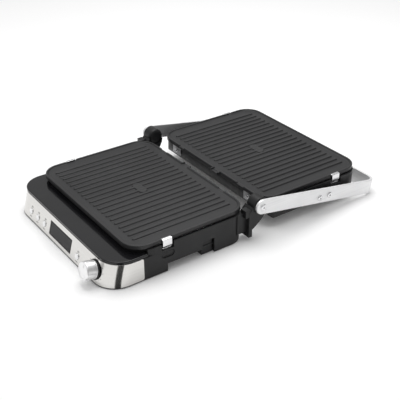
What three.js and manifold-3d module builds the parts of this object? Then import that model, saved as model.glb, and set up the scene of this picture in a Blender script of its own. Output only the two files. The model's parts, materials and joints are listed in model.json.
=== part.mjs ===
// Contact grill (panini press), opened flat. Millimetres, +Z up, -Y is the control side.
// Everything is built round the middle of the lower cooking plate; add() moves it to the origin.
import * as THREE from 'three';
import { mergeVertices } from 'three/addons/utils/BufferGeometryUtils.js';
import Module from 'manifold-3d';

const wasm = await Module();
wasm.setup();

// ---------------------------------------------------------------- clearances
const FIT_GAP = 0.3;            // between touching pieces
const SCREW_GAP = 0.35;         // radial, round pins and screws
const PLATE_GAP = 1.0;          // shadow gap between a plate skirt and its housing
const CUT_OVER = 2;             // how far a cutting tool runs past the face that it cuts

// ---------------------------------------------------------------- cooking plate sizes
const PLATE_WIDTH = 300;        // left to right
const PLATE_DEPTH = 212;        // front to back
const PLATE_CORNER = 31;        // plan radius
const RIM_TOP = 57.5;           // height of the rims above the table
const RIM_WIDTH = 3.6;
const RIM_BEVEL = 1.2;
const SKIRT_HEIGHT = 6.5;
const SKIRT_WALL = 3;
const FLOOR_DROP = 2.5;         // cooking floor below the rim
const FLOOR_THICK = 2;
const RIB_WIDTH = 5.4;
const RIB_PITCH = 13;
const RIB_SIDE_ROOM = 18;       // least flat floor between the rim and the first rib
const RIB_END_ROOM = 17;        // from the plate's edge to the ends of the ribs
const PATCH_WIDTH = 32;         // flat pad in the middle of the ribs
const PATCH_DEPTH = 14;
const SPOUT_X = -22;            // grease spout, left of the middle
const SPOUT_WIDTH = 22;
const SPOUT_LIP = 2;            // wall on each side of the spout's channel
const SPOUT_REACH = 5;

// ---------------------------------------------------------------- base sizes
const WALL_OFFSET = 4;          // housing side wall outside the plate's edge
const WALL = 3.2;               // housing wall
const CONTROL_DEPTH = 46.6;     // lower front edge ahead of the plate's edge
const FRONT_LEAN = 0.274;       // set-back of the control face per millimetre of height
const LEAN_BLEND = 26;          // length over which the lean fades into the straight sides
const FRONT_CORNER = 38;        // plan radius of the two front corners
const BODY_FRONT_CORNER = 34;
const BODY_BACK_CORNER = 28;
const FOOT_HEIGHT = 1.5;
const COVER_THICK = 2.4;        // cover plate under the front block
const BAND_BOTTOM = 2.6;
const BAND_THICK = 1.2;
const BAND_STOP = 17;           // the steel band stops this far behind the plate's front edge
const BAND_CORNER = 3;          // rounded corners at the band's ends
const DECK_THICK = 5;
const DECK_DROP = 6.7;          // deck top below the underside of the plate skirt
const DECK_BEYOND_BAND = 8.5;   // the deck runs back past the band's ends
const FLANK_LENGTH = 41;        // deep side walls behind the band
const LIFT = 14.5;              // ground clearance behind the deep front block
const REAR_FOOT_WIDTH = 42;
const REAR_FOOT_LENGTH = 62;
const POST_WIDTH = 21.4;        // floor pan posts that carry the rear rubber feet
const POST_LENGTH = 20.4;
const POST_HEIGHT = 27;
const GLAND_INSET = 64;         // cord gland, in from the right wall
const GLAND_Z = 30;

// ---------------------------------------------------------------- handle, hinge and lid sizes
const HINGE_SETBACK = 16;       // hinge line behind the lower plate's edge
const HINGE_RISE = 1;           // hinge line above the rims
const DRUM_RADIUS = 14;
const HINGE_PIN_RADIUS = 4;
const PIVOT_RADIUS = 3.2;
const STOP_RADIUS = 2.5;
const ARM_CLEARANCE = 8.5;      // room for the bushes between a side wall and its arm
const ARM_THICK = 4.5;
const ARM_HEIGHT = 25;
const HANDLE_BEYOND = 30;       // outer face of the handle bar beyond the lid plate
const HANDLE_CORNER = 20;       // plan radius of the handle's bends
const HANDLE_FLOOR_GAP = 0.5;   // handle bar above the table when the lid lies open
const LID_DEPTH = 44;           // lid housing below its plate rim
const LID_NEAR_ROUND = 28;      // roundings of the lid's outer shell
const LID_FAR_ROUND = 16;
const LID_SIDE_ROUND = 12;
const LID_SWING = 9;            // free tilt of the lid on its arms, degrees
const LID_PIVOT_LOW = 3;        // lid pivot below the arm's middle line
const STOP_PIN_AHEAD = 21;      // stop pin beyond the lid pivot, along the arm

// ---------------------------------------------------------------- control sizes
const KNOB_RADIUS = 14.5;
const KNOB_LENGTH = 20;
const KNOB_EDGE = 1.6;          // knob rim chamfer
const SHAFT_RADIUS = 3;
const BUTTON_RADIUS = 5;
const DISPLAY_WIDTH = 71;
const DISPLAY_HEIGHT = 23;
const DISPLAY_LOW = 1.5;        // display below the middle of the face
const SMALL_BUTTON_RISE = 14.37;  // button middles up the face from its lower edge
const START_BUTTON_RISE = 13.37;
const CONTROL_GAPS = [14, 14, 13.5, 16.5, 32.5];  // bare face between neighbours, left to right

// ---------------------------------------------------------------- plate clip sizes
const CLIP_Y = -47;
const CLIP_WIDTH = 16;
const CLIP_PIVOT_DROP = 17;     // clip pivot below the rim
const CLIP_PIVOT_INSET = 1.5;   // clip pivot inside the plate's edge
const CLIP_PIN_RADIUS = 1;
const RELEASE_DROP = 9;         // release button below the clip's pivot
const RELEASE_HALF_LENGTH = 11;
const RELEASE_HALF_HEIGHT = 5.3;

const SEG = 4;                  // curve segments in a rounded corner

// ---------------------------------------------------------------- derived sizes
const PLATE_HALF = PLATE_WIDTH / 2;
const PLATE_DEEP = PLATE_DEPTH / 2;
const PLATE_BASE = RIM_TOP - SKIRT_HEIGHT;
const PLATE_FLOOR = RIM_TOP - FLOOR_DROP;
const RIB_SPAN = PLATE_WIDTH - 2 * (RIM_WIDTH + RIB_SIDE_ROOM) - RIB_WIDTH;
const RIB_COUNT = 1 + Math.floor(RIB_SPAN / RIB_PITCH);
const RIB_LENGTH = PLATE_DEPTH - 2 * RIB_END_ROOM;

const WALL_X = PLATE_HALF + WALL_OFFSET;
const BODY_TOP = PLATE_BASE - PLATE_GAP;
const BODY_BACK = PLATE_DEEP - 6;
const BODY_FRONT = -(PLATE_DEEP - 4);
const FRONT_FOOT = -(PLATE_DEEP + CONTROL_DEPTH);
const DECK_TOP = PLATE_BASE - DECK_DROP;
const BAND_TOP = DECK_TOP - DECK_THICK - FIT_GAP;
const BAND_END = -(PLATE_DEEP - BAND_STOP);
const DECK_BACK = BAND_END + DECK_BEYOND_BAND;
const FLANK_END = BAND_END + FLANK_LENGTH;
const WELL_X = WALL_X - 8;      // half width of the body's neck inside the deck
const WELL_CORNER = 30;
const REAR_FOOT_START = BODY_BACK - REAR_FOOT_LENGTH;
const POST_X = WALL_X - 4.6 - POST_WIDTH / 2;
const POST_Y = REAR_FOOT_START - 1.6 - POST_LENGTH / 2;

const HINGE_Y = PLATE_DEEP + HINGE_SETBACK;
const HINGE_Z = RIM_TOP + HINGE_RISE;
const LID_Y = 2 * HINGE_Y;      // middle of the lid plate when the lid lies open
const LID_NEAR = LID_Y - BODY_BACK;
const LID_FAR = LID_Y + PLATE_DEEP - 2;
const LID_BOTTOM = RIM_TOP - LID_DEPTH;
const ARM_INNER = WALL_X + ARM_CLEARANCE;
const ARM_OUTER = ARM_INNER + ARM_THICK;
const ARM_HALF = ARM_HEIGHT / 2;
const HANDLE_END = LID_Y + PLATE_DEEP + HANDLE_BEYOND;
const ARM_REACH = HANDLE_END - HINGE_Y;
const ARM_PITCH = handlePitch();
const ARM_LENGTH = (ARM_REACH - ARM_HALF * Math.sin(ARM_PITCH)) / Math.cos(ARM_PITCH);
const LID_PIVOT_ALONG = (LID_Y - HINGE_Y) / Math.cos(ARM_PITCH);
const TOWER_IN = WALL_X - 14.5;
const TOWER_OUT = ARM_INNER - 2.5;
const DRUM_LENGTH = ARM_INNER - 1 - TOWER_IN;

const CLIP_HALF = CLIP_WIDTH / 2;
const CLIP_PIVOT_Z = RIM_TOP - CLIP_PIVOT_DROP;
const CLIP_PIVOT_X = PLATE_HALF - CLIP_PIVOT_INSET;
const CLIP_SLOT_HALF = CLIP_HALF + 2.5;
const RELEASE_Z = CLIP_PIVOT_Z - RELEASE_DROP;

const SLANT = Math.atan(FRONT_LEAN);
const FACE_MID_Z = (BAND_BOTTOM + BAND_TOP) / 2;
const FACE_HALF = (BAND_TOP - BAND_BOTTOM) / 2 / Math.cos(SLANT);
const FACE_MID_Y = FRONT_FOOT + FRONT_LEAN * (FACE_MID_Z - BAND_BOTTOM);
const KNOB_REACH = KNOB_LENGTH * Math.cos(SLANT) + (KNOB_RADIUS - KNOB_EDGE) * Math.sin(SLANT);
const ORIGIN_Y = (HANDLE_END + FACE_MID_Y - KNOB_REACH) / 2;

const { BUTTONS, DISPLAY_X, KNOB_X } = controlRow();

// Downward slope of the arms that sets the handle bar just above the table.
function handlePitch() {
  let pitch = 0.18;
  for (let i = 0; i < 40; i += 1) {
    const down = HINGE_Z - HANDLE_FLOOR_GAP - ARM_HALF * Math.cos(pitch);
    pitch = Math.atan2(down, ARM_REACH - ARM_HALF * Math.sin(pitch));
  }
  return pitch;
}

// Place on the tilted arm: distance along it from the hinge, and height off its middle line.
function armPoint(along, up) {
  const y = HINGE_Y + along * Math.cos(ARM_PITCH) + up * Math.sin(ARM_PITCH);
  const z = HINGE_Z - along * Math.sin(ARM_PITCH) + up * Math.cos(ARM_PITCH);
  return [y, z];
}

// Row of controls along the flat of the face; a narrower face draws the gaps in evenly.
function controlRow() {
  const flat = WALL_X - FRONT_CORNER;
  const knobX = flat - 4;
  const firstX = -(flat - 17);
  const widths = [2 * BUTTON_RADIUS, 2 * BUTTON_RADIUS, DISPLAY_WIDTH, 2 * BUTTON_RADIUS];
  const free = (knobX - KNOB_RADIUS) - (firstX + BUTTON_RADIUS) - widths.reduce((a, b) => a + b);
  const squeeze = free / CONTROL_GAPS.reduce((a, b) => a + b);
  const middles = [];
  let x = firstX + BUTTON_RADIUS;
  for (const [i, width] of widths.entries()) {
    x += CONTROL_GAPS[i] * squeeze;
    middles.push(x + width / 2);
    x += width;
  }
  const [heatX, timerX, displayX, startX] = middles;
  const buttons = [
    { name: 'mode_button', x: firstX, along: SMALL_BUTTON_RISE - FACE_HALF },
    { name: 'heat_button', x: heatX, along: SMALL_BUTTON_RISE - FACE_HALF },
    { name: 'timer_button', x: timerX, along: SMALL_BUTTON_RISE - FACE_HALF },
    { name: 'start_button', x: startX, along: START_BUTTON_RISE - FACE_HALF },
  ];
  return { BUTTONS: buttons, DISPLAY_X: displayX, KNOB_X: knobX };
}

const group = new THREE.Group();
group.name = 'panini_press';

// ---------------------------------------------------------------- finishes
const FINISH = {
  castPlate: { color: 0x3c3c3d, roughness: 0.55, metalness: 0.2 },
  mattBlack: { color: 0x1d1d1f, roughness: 0.6, metalness: 0.0 },
  glossBlack: { color: 0x121214, roughness: 0.12, metalness: 0.0 },
  steel: { color: 0xc4c3c0, roughness: 0.3, metalness: 1.0 },
  aluminium: { color: 0xd2d3d5, roughness: 0.35, metalness: 1.0 },
  chrome: { color: 0xd8d8d8, roughness: 0.12, metalness: 1.0 },
  rubber: { color: 0x161616, roughness: 0.85, metalness: 0.0 },
  lens: { color: 0x242426, roughness: 0.15, metalness: 0.0 },
  board: { color: 0x1f5a3a, roughness: 0.6, metalness: 0.0 },
};

// ---------------------------------------------------------------- solid helpers
function plain(geometry) {
  const g = geometry.index ? geometry.toNonIndexed() : geometry.clone();
  g.deleteAttribute('normal');
  g.deleteAttribute('uv');
  return mergeVertices(g, 1e-4);
}

function toSolid(geometry) {
  const g = plain(geometry);
  const mesh = new wasm.Mesh({
    numProp: 3,
    vertProperties: new Float32Array(g.attributes.position.array),
    triVerts: new Uint32Array(g.index.array),
  });
  return new wasm.Manifold(mesh);
}

function toGeometry(solid) {
  const mesh = solid.getMesh();
  const g = new THREE.BufferGeometry();
  g.setAttribute('position', new THREE.BufferAttribute(new Float32Array(mesh.vertProperties), 3));
  g.setIndex(new THREE.BufferAttribute(new Uint32Array(mesh.triVerts), 1));
  return g;
}

function union(...geometries) {
  return toGeometry(geometries.map(toSolid).reduce((a, b) => a.add(b)));
}

function cut(base, ...tools) {
  return toGeometry(tools.map(toSolid).reduce((a, b) => a.subtract(b), toSolid(base)));
}

// Corner radii run front left, front right, back right, back left.
function roundedRect(x0, y0, x1, y1, radii) {
  const [fl, fr, br, bl] = Array.isArray(radii) ? radii : [radii, radii, radii, radii];
  const s = new THREE.Shape();
  s.moveTo(x0 + fl, y0);
  s.lineTo(x1 - fr, y0);
  if (fr > 0) s.absarc(x1 - fr, y0 + fr, fr, -Math.PI / 2, 0, false);
  s.lineTo(x1, y1 - br);
  if (br > 0) s.absarc(x1 - br, y1 - br, br, 0, Math.PI / 2, false);
  s.lineTo(x0 + bl, y1);
  if (bl > 0) s.absarc(x0 + bl, y1 - bl, bl, Math.PI / 2, Math.PI, false);
  s.lineTo(x0, y0 + fl);
  if (fl > 0) s.absarc(x0 + fl, y0 + fl, fl, Math.PI, 1.5 * Math.PI, false);
  return s;
}

// A plan from y0 to y1, equally far to both sides, with its own front and back corner radii.
function evenPlan(halfWidth, y0, y1, frontRadius, backRadius = 0) {
  return roundedRect(-halfWidth, y0, halfWidth, y1, [frontRadius, frontRadius, backRadius, backRadius]);
}

function slab(shape, z0, z1, segments = SEG) {
  const options = { depth: z1 - z0, bevelEnabled: false, curveSegments: segments };
  return new THREE.ExtrudeGeometry(shape, options).translate(0, 0, z0);
}

function softSlab(shape, z0, z1, bevel, steps = 2) {
  const options = {
    depth: z1 - z0 - 2 * bevel,
    bevelEnabled: true,
    bevelSize: bevel,
    bevelThickness: bevel,
    bevelOffset: -bevel,
    bevelSegments: steps,
    curveSegments: SEG,
  };
  return new THREE.ExtrudeGeometry(shape, options).translate(0, 0, z0 + bevel);
}

function block(x0, y0, z0, x1, y1, z1) {
  const g = new THREE.BoxGeometry(x1 - x0, y1 - y0, z1 - z0);
  return g.translate((x0 + x1) / 2, (y0 + y1) / 2, (z0 + z1) / 2);
}

function rodX(x0, x1, y, z, radius, sides = 24) {
  const g = new THREE.CylinderGeometry(radius, radius, x1 - x0, sides);
  return g.rotateZ(-Math.PI / 2).translate((x0 + x1) / 2, y, z);
}

function rodY(y0, y1, x, z, radius, sides = 16) {
  return new THREE.CylinderGeometry(radius, radius, y1 - y0, sides).translate(x, (y0 + y1) / 2, z);
}

function rodZ(z0, z1, x, y, radius, sides = 24, radiusTop = radius) {
  const g = new THREE.CylinderGeometry(radiusTop, radius, z1 - z0, sides);
  return g.rotateX(Math.PI / 2).translate(x, y, (z0 + z1) / 2);
}

// A solid of revolution about Y from [radius, height] points.
function turned(profile, sides) {
  return new THREE.LatheGeometry(profile.map(([r, h]) => new THREE.Vector2(r, h)), sides);
}

// A shape drawn in the Y-Z plane, extruded along X between x0 and x1.
function alongX(shape, x0, x1) {
  const options = { depth: x1 - x0, bevelEnabled: false, curveSegments: SEG };
  const toSide = new THREE.Matrix4().makeBasis(
    new THREE.Vector3(0, 1, 0), new THREE.Vector3(0, 0, 1), new THREE.Vector3(1, 0, 0));
  return new THREE.ExtrudeGeometry(shape, options).applyMatrix4(toSide).translate(x0, 0, 0);
}

function sideSlab(points, x0, x1) {
  return alongX(new THREE.Shape(points.map(([y, z]) => new THREE.Vector2(y, z))), x0, x1);
}

function ovalX(x0, x1, y, z, halfLength, halfHeight) {
  const oval = roundedRect(-halfLength, -halfHeight, halfLength, halfHeight, halfHeight - 0.01);
  return alongX(oval, x0, x1).translate(0, y, z);
}

// Points on an arc, from one angle to another in quarter turns.
function arcPoints(y, z, radius, from, to, steps) {
  const points = [];
  for (let i = 0; i <= steps; i += 1) {
    const a = (from + (to - from) * (i / steps)) * (Math.PI / 2);
    points.push([y + radius * Math.cos(a), z + radius * Math.sin(a)]);
  }
  return points;
}

function mirrorX(geometry) {
  const g = plain(geometry).applyMatrix4(new THREE.Matrix4().makeScale(-1, 1, 1));
  const index = g.index.array;
  for (let i = 0; i < index.length; i += 3) {
    const keep = index[i];
    index[i] = index[i + 1];
    index[i + 1] = keep;
  }
  return g;
}

function bothSides(geometry) {
  return [geometry, mirrorX(geometry)];
}

// Lower plate kit turned half round about the upright line through the hinge's middle.
function toLid(geometry) {
  return geometry.clone().rotateZ(Math.PI).translate(0, LID_Y, 0);
}

// Sets the control face back as it rises; the straight sides are left in their planes.
function lean(geometry) {
  const g = plain(geometry);
  const p = g.attributes.position;
  for (let i = 0; i < p.count; i += 1) {
    const share = THREE.MathUtils.clamp((BAND_END - p.getY(i)) / LEAN_BLEND, 0, 1);
    p.setY(i, p.getY(i) + share * FRONT_LEAN * (p.getZ(i) - BAND_BOTTOM));
  }
  return g;
}

// Places something built on the origin (outwards = -Y) on the slanted control face.
function onFace(geometry, x, along = 0) {
  return geometry.clone().translate(0, 0, along).rotateX(-SLANT).translate(x, FACE_MID_Y, FACE_MID_Z);
}

function add(name, geometry, finish) {
  const flat = plain(geometry).translate(0, -ORIGIN_Y, 0).toNonIndexed();
  flat.computeVertexNormals();
  const mesh = new THREE.Mesh(flat, new THREE.MeshStandardMaterial({ ...FINISH[finish], name: finish }));
  mesh.name = name;
  group.add(mesh);
}

// ---------------------------------------------------------------- cooking plates
function plateOutline(inset) {
  return evenPlan(PLATE_HALF - inset, -(PLATE_DEEP - inset), PLATE_DEEP - inset,
    PLATE_CORNER - inset, PLATE_CORNER - inset);
}

function ribs() {
  const low = PLATE_FLOOR - 0.5;
  const high = RIM_TOP - 0.5;
  const half = RIB_WIDTH / 2;
  const made = [];
  for (let i = 0; i < RIB_COUNT; i += 1) {
    const x = (i - (RIB_COUNT - 1) / 2) * RIB_PITCH;
    const plan = roundedRect(x - half, -RIB_LENGTH / 2, x + half, RIB_LENGTH / 2, half - 0.01);
    made.push(slab(plan, low, high, 1));
  }
  const patch = evenPlan(PATCH_WIDTH / 2, -PATCH_DEPTH / 2, PATCH_DEPTH / 2,
    PATCH_DEPTH / 2 - 0.1, PATCH_DEPTH / 2 - 0.1);
  made.push(slab(patch, low, high + 0.1, 2));
  return made;
}

// Dips in the rear rim for lifting the plate out, and the ones that the side clips hook over.
function rimNotches() {
  const notch = (x, width, depth, z0) => block(x - width / 2, PLATE_DEEP - depth, z0,
    x + width / 2, PLATE_DEEP + SPOUT_REACH + 1, RIM_TOP + 1);
  const clipNotch = block(PLATE_HALF - 4.5, CLIP_Y - CLIP_SLOT_HALF, RIM_TOP - 2.2,
    PLATE_HALF + 2, CLIP_Y + CLIP_SLOT_HALF, RIM_TOP + 1);
  return [
    notch(-(PLATE_HALF - 63), 20, 4.5, RIM_TOP - 2),
    notch(PLATE_HALF - 68, 16, 4.5, RIM_TOP - 2),
    notch(SPOUT_X, SPOUT_WIDTH - 2 * SPOUT_LIP, 5, PLATE_FLOOR),
    ...bothSides(clipNotch),
  ];
}

function grillPlate() {
  const shell = cut(
    softSlab(plateOutline(0), PLATE_BASE, RIM_TOP, RIM_BEVEL, 1),
    slab(plateOutline(RIM_WIDTH), PLATE_FLOOR, RIM_TOP + CUT_OVER),
    slab(plateOutline(SKIRT_WALL), PLATE_BASE - CUT_OVER, PLATE_FLOOR - FLOOR_THICK));
  const spout = block(SPOUT_X - SPOUT_WIDTH / 2, PLATE_DEEP - SKIRT_WALL, PLATE_BASE + 0.4,
    SPOUT_X + SPOUT_WIDTH / 2, PLATE_DEEP + SPOUT_REACH, PLATE_FLOOR - 0.6);
  const restPad = block(PLATE_HALF - 2.9, 20, BODY_TOP + FIT_GAP,
    PLATE_HALF - 0.2, 44, PLATE_BASE + 2);
  return cut(union(shell, ...ribs(), spout, ...bothSides(restPad)), ...rimNotches());
}

// ---------------------------------------------------------------- heaters and reflectors
const HEATER_X = PLATE_HALF - 28;
const HEATER_FRONT = -(PLATE_DEEP - 26);
const HEATER_BACK = PLATE_DEEP - 22;     // where the terminals end
const HEATER_RADIUS = 3.2;
const THERMOSTAT_Y = HEATER_FRONT + 100;

// One bent tube; the right half mirrors the left.
function heaterTube() {
  const left = [
    [-34, HEATER_BACK], [-34, HEATER_BACK - 32], [-60, HEATER_BACK - 50],
    [-HEATER_X + 12, HEATER_BACK - 44], [-HEATER_X, HEATER_BACK - 64],
    [-HEATER_X, HEATER_FRONT + 18], [-HEATER_X + 18, HEATER_FRONT],
    [-40, HEATER_FRONT], [-22, HEATER_FRONT + 18], [-22, HEATER_FRONT + 50],
  ];
  const right = left.map(([x, y]) => [-x, y]).reverse();
  const z = PLATE_BASE - HEATER_RADIUS - 0.4;
  const points = [...left, [0, HEATER_FRONT + 66], ...right].map(([x, y]) => new THREE.Vector3(x, y, z));
  const path = new THREE.CatmullRomCurve3(points, false, 'centripetal');
  const ring = new THREE.Shape();
  ring.absarc(0, 0, HEATER_RADIUS, 0, 2 * Math.PI, false);
  return new THREE.ExtrudeGeometry(ring, { steps: 56, curveSegments: 3, extrudePath: path });
}

// Shallow sheet tray under the heater.
function reflector() {
  const sheet = 1.2;
  const top = BODY_TOP - sheet;
  const plan = (inset) => evenPlan(PLATE_HALF - 12 - inset, -(PLATE_DEEP - 13 - inset),
    PLATE_DEEP - 15 - inset, 22 - inset, 22 - inset);
  return cut(slab(plan(0), top - 8, top), slab(plan(sheet), top - 7, top + 1));
}

function thermostat() {
  const top = PLATE_FLOOR - FLOOR_THICK - 0.4;
  const bar = block(-9, THERMOSTAT_Y - 2.5, top - 8, 9, THERMOSTAT_Y + 2.5, top - 6.8);
  return union(rodZ(top - 9, top, 0, THERMOSTAT_Y, 6), bar);
}

// ---------------------------------------------------------------- plate clips
function clipStrap() {
  const px = CLIP_PIVOT_X;
  const pz = CLIP_PIVOT_Z;
  const sheet = 1.4;
  const outer = PLATE_HALF + 2.6;
  const inner = outer - sheet;
  const tip = PLATE_HALF - 2.8;
  const hookTop = RIM_TOP - 0.3;
  const hookLow = hookTop - sheet;
  const profile = new THREE.Shape([
    [px - 1.2, pz], [px + 1.6, pz + 0.6], [outer, pz + 3.4], [outer, hookTop - 1], [outer - 1, hookTop],
    [tip, hookTop], [tip, hookLow], [inner, hookLow], [inner, pz + 4.2],
  ].map(([x, z]) => new THREE.Vector2(x, z)));
  const strap = new THREE.ExtrudeGeometry(profile, { depth: CLIP_WIDTH, bevelEnabled: false });
  strap.rotateX(Math.PI / 2).translate(0, CLIP_Y + CLIP_HALF, 0);
  const lever = block(px - 1.3, CLIP_Y - 4, pz - RELEASE_DROP - 1, px + 0.1, CLIP_Y + 4, pz);
  const barrel = rodY(CLIP_Y - CLIP_HALF, CLIP_Y + CLIP_HALF, px, pz, CLIP_PIN_RADIUS + 1.3);
  const bore = rodY(CLIP_Y - CLIP_HALF - 1, CLIP_Y + CLIP_HALF + 1, px, pz, CLIP_PIN_RADIUS + SCREW_GAP);
  return cut(union(strap, lever, barrel), bore);
}

const CLIP_PIN_HALF = CLIP_SLOT_HALF - FIT_GAP;

function clipPin() {
  return rodY(CLIP_Y - CLIP_PIN_HALF, CLIP_Y + CLIP_PIN_HALF, CLIP_PIVOT_X, CLIP_PIVOT_Z, CLIP_PIN_RADIUS);
}

function releaseButton() {
  const cap = ovalX(WALL_X - 3.8, WALL_X - 0.8, CLIP_Y, RELEASE_Z, RELEASE_HALF_LENGTH, RELEASE_HALF_HEIGHT);
  const nub = rodX(CLIP_PIVOT_X + 0.7, WALL_X - 3.5, CLIP_Y, RELEASE_Z, 1, 12);
  return union(cap, nub);
}

// Openings for one clip and its release button in a side wall.
function clipOpenings() {
  const slot = block(WALL_X - 6, CLIP_Y - CLIP_SLOT_HALF, CLIP_PIVOT_Z - 0.5,
    WALL_X + CUT_OVER, CLIP_Y + CLIP_SLOT_HALF, BODY_TOP + CUT_OVER);
  const window = ovalX(WALL_X - 6, WALL_X + CUT_OVER, CLIP_Y, RELEASE_Z,
    RELEASE_HALF_LENGTH + FIT_GAP, RELEASE_HALF_HEIGHT + FIT_GAP);
  return [slot, window];
}

// Bearing lugs that carry one clip pin inside the side wall.
function clipLugs() {
  return [-1, 1].map((side) => {
    const y = CLIP_Y + side * (CLIP_HALF + 2.4);
    return block(CLIP_PIVOT_X - 3.2, y - 2, CLIP_PIVOT_Z - 4, WALL_X - 3, y + 2, CLIP_PIVOT_Z + 2.6);
  });
}

// Adds the four clip lugs to a housing and cuts their bores and openings; place() moves each tool.
function fitClips(housing, place = (g) => g) {
  const lugs = clipLugs().flatMap(bothSides).map(place);
  const bore = rodY(CLIP_Y - CLIP_SLOT_HALF, CLIP_Y + CLIP_SLOT_HALF, CLIP_PIVOT_X, CLIP_PIVOT_Z,
    CLIP_PIN_RADIUS + SCREW_GAP);
  const tools = [bore, ...clipOpenings()].flatMap(bothSides).map(place);
  return cut(union(housing, ...lugs), ...tools);
}

// ---------------------------------------------------------------- control face openings
const FACE_CUT_IN = 8;
const FACE_CUT_OUT = 4;

function faceRod(x, along, radius, sides = 20) {
  const g = new THREE.CylinderGeometry(radius, radius, FACE_CUT_IN + FACE_CUT_OUT, sides);
  return onFace(g.translate(0, (FACE_CUT_IN - FACE_CUT_OUT) / 2, 0), x, along);
}

function faceBox(x, along, width, height, inwards, outwards) {
  const g = new THREE.BoxGeometry(width, inwards + outwards, height);
  return onFace(g.translate(0, (inwards - outwards) / 2, 0), x, along);
}

function faceOpenings() {
  const window = faceBox(DISPLAY_X, -DISPLAY_LOW, DISPLAY_WIDTH + 2 * FIT_GAP,
    DISPLAY_HEIGHT + 2 * FIT_GAP, FACE_CUT_IN, FACE_CUT_OUT);
  const buttonHoles = BUTTONS.map((b) => faceRod(b.x, b.along, BUTTON_RADIUS + FIT_GAP));
  return [window, ...buttonHoles, faceRod(KNOB_X, 0, SHAFT_RADIUS + 1)];
}

// ---------------------------------------------------------------- base housing
const FRONT_BLOCK_END = FLANK_END - 12;

// Plan of the front block, drawn in from its outer faces.
function frontPlan(inset, y1 = FRONT_BLOCK_END, frontInset = inset) {
  return evenPlan(WALL_X - inset, FRONT_FOOT + frontInset, y1, FRONT_CORNER - inset);
}

function bodyPlan(inset) {
  return evenPlan(WALL_X - inset, BODY_FRONT + inset, BODY_BACK - inset,
    BODY_FRONT_CORNER - inset, BODY_BACK_CORNER - inset);
}

function neckPlan(inset, y1) {
  return evenPlan(WELL_X - inset, BODY_FRONT + inset, y1, WELL_CORNER - inset);
}

// Body, front block behind the band, lip under the band, deep flanks and rear feet.
function baseOutside() {
  const bandRoom = BAND_THICK + FIT_GAP;
  const body = slab(bodyPlan(0), LIFT, BODY_TOP);
  const front = lean(slab(frontPlan(bandRoom), FOOT_HEIGHT, BAND_TOP));
  const lip = lean(slab(frontPlan(0), FOOT_HEIGHT, BAND_BOTTOM - FIT_GAP));
  const flank = block(-WALL_X, BAND_END + FIT_GAP, FOOT_HEIGHT, WALL_X, FLANK_END, BAND_TOP);
  const rearFoot = slab(roundedRect(WALL_X - REAR_FOOT_WIDTH, REAR_FOOT_START, WALL_X, BODY_BACK,
    [0, 0, BODY_BACK_CORNER, 0]), FOOT_HEIGHT, LIFT + 1);
  const ledge = cut(
    block(-WALL_X - 4, BODY_FRONT - 8, BAND_TOP, WALL_X + 4, DECK_BACK, BODY_TOP + 6),
    slab(neckPlan(0, 0), BAND_TOP - 5, BODY_TOP + 8));
  return cut(union(body, front, lip, flank, ...bothSides(rearFoot)), ledge);
}

// Room inside the body, kept clear of the shoulder that carries the control deck.
function bodyRoom() {
  const shoulder = cut(
    block(-WALL_X - 4, BODY_FRONT - 8, BAND_TOP - 3, WALL_X + 4, DECK_BACK + WALL, BODY_TOP + 6),
    slab(neckPlan(3, DECK_BACK + WALL + 8), LIFT - 1, BODY_TOP + CUT_OVER));
  return cut(slab(bodyPlan(WALL), LIFT - 1, BODY_TOP + CUT_OVER), shoulder);
}

function baseHousing() {
  const panelWall = BAND_THICK + FIT_GAP + 3;
  const panelRoom = lean(slab(frontPlan(panelWall, BODY_FRONT - 3, 3.1), 0, BAND_TOP + CUT_OVER));
  const lowRoom = block(-WALL_X + WALL, BODY_FRONT + 3, 0, WALL_X - WALL, FLANK_END - 3, LIFT + 2);
  const sill = block(-WALL_X + panelWall, BODY_FRONT - 5, 0, WALL_X - panelWall, BODY_FRONT + 5, 4.6);
  const glandHole = rodY(BODY_BACK - 8, BODY_BACK + 4, WALL_X - GLAND_INSET, GLAND_Z, GLAND_NECK + 0.4, 32);
  const postSlot = block(WALL_X - 8, POST_Y - POST_LENGTH / 2 - 1, LIFT - 4,
    WALL_X + CUT_OVER, REAR_FOOT_START - 0.4, POST_HEIGHT + 0.5);
  const hollow = cut(baseOutside(), bodyRoom(), panelRoom, lowRoom, sill, glandHole, ...faceOpenings());
  return cut(fitClips(hollow), ...bothSides(postSlot));
}

function frontCoverPlate() {
  const inset = BAND_THICK + 2 * FIT_GAP + 3.1;
  const plan = evenPlan(WALL_X - inset, FRONT_FOOT + 4.2, FLANK_END - 3.4, FRONT_CORNER - 5);
  return slab(plan, FOOT_HEIGHT + FIT_GAP, FOOT_HEIGHT + FIT_GAP + COVER_THICK);
}

function baseFloor() {
  const pan = slab(bodyPlan(WALL + 0.4), LIFT + 0.2, LIFT + 2.6);
  const post = block(POST_X - POST_WIDTH / 2, POST_Y - POST_LENGTH / 2, REAR_RUBBER_TOP + FIT_GAP,
    POST_X + POST_WIDTH / 2, POST_Y + POST_LENGTH / 2, POST_HEIGHT);
  const vent = rodZ(LIFT - 2, LIFT + 5, 0, BODY_BACK - 60, 14, 32);
  const buttonRoom = block(CLIP_PIVOT_X - 3, CLIP_Y - RELEASE_HALF_LENGTH - FIT_GAP,
    RELEASE_Z - RELEASE_HALF_HEIGHT - FIT_GAP, WALL_X, CLIP_Y + RELEASE_HALF_LENGTH + FIT_GAP, CLIP_PIVOT_Z);
  return cut(union(pan, ...bothSides(post)), vent, ...bothSides(buttonRoom));
}

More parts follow.
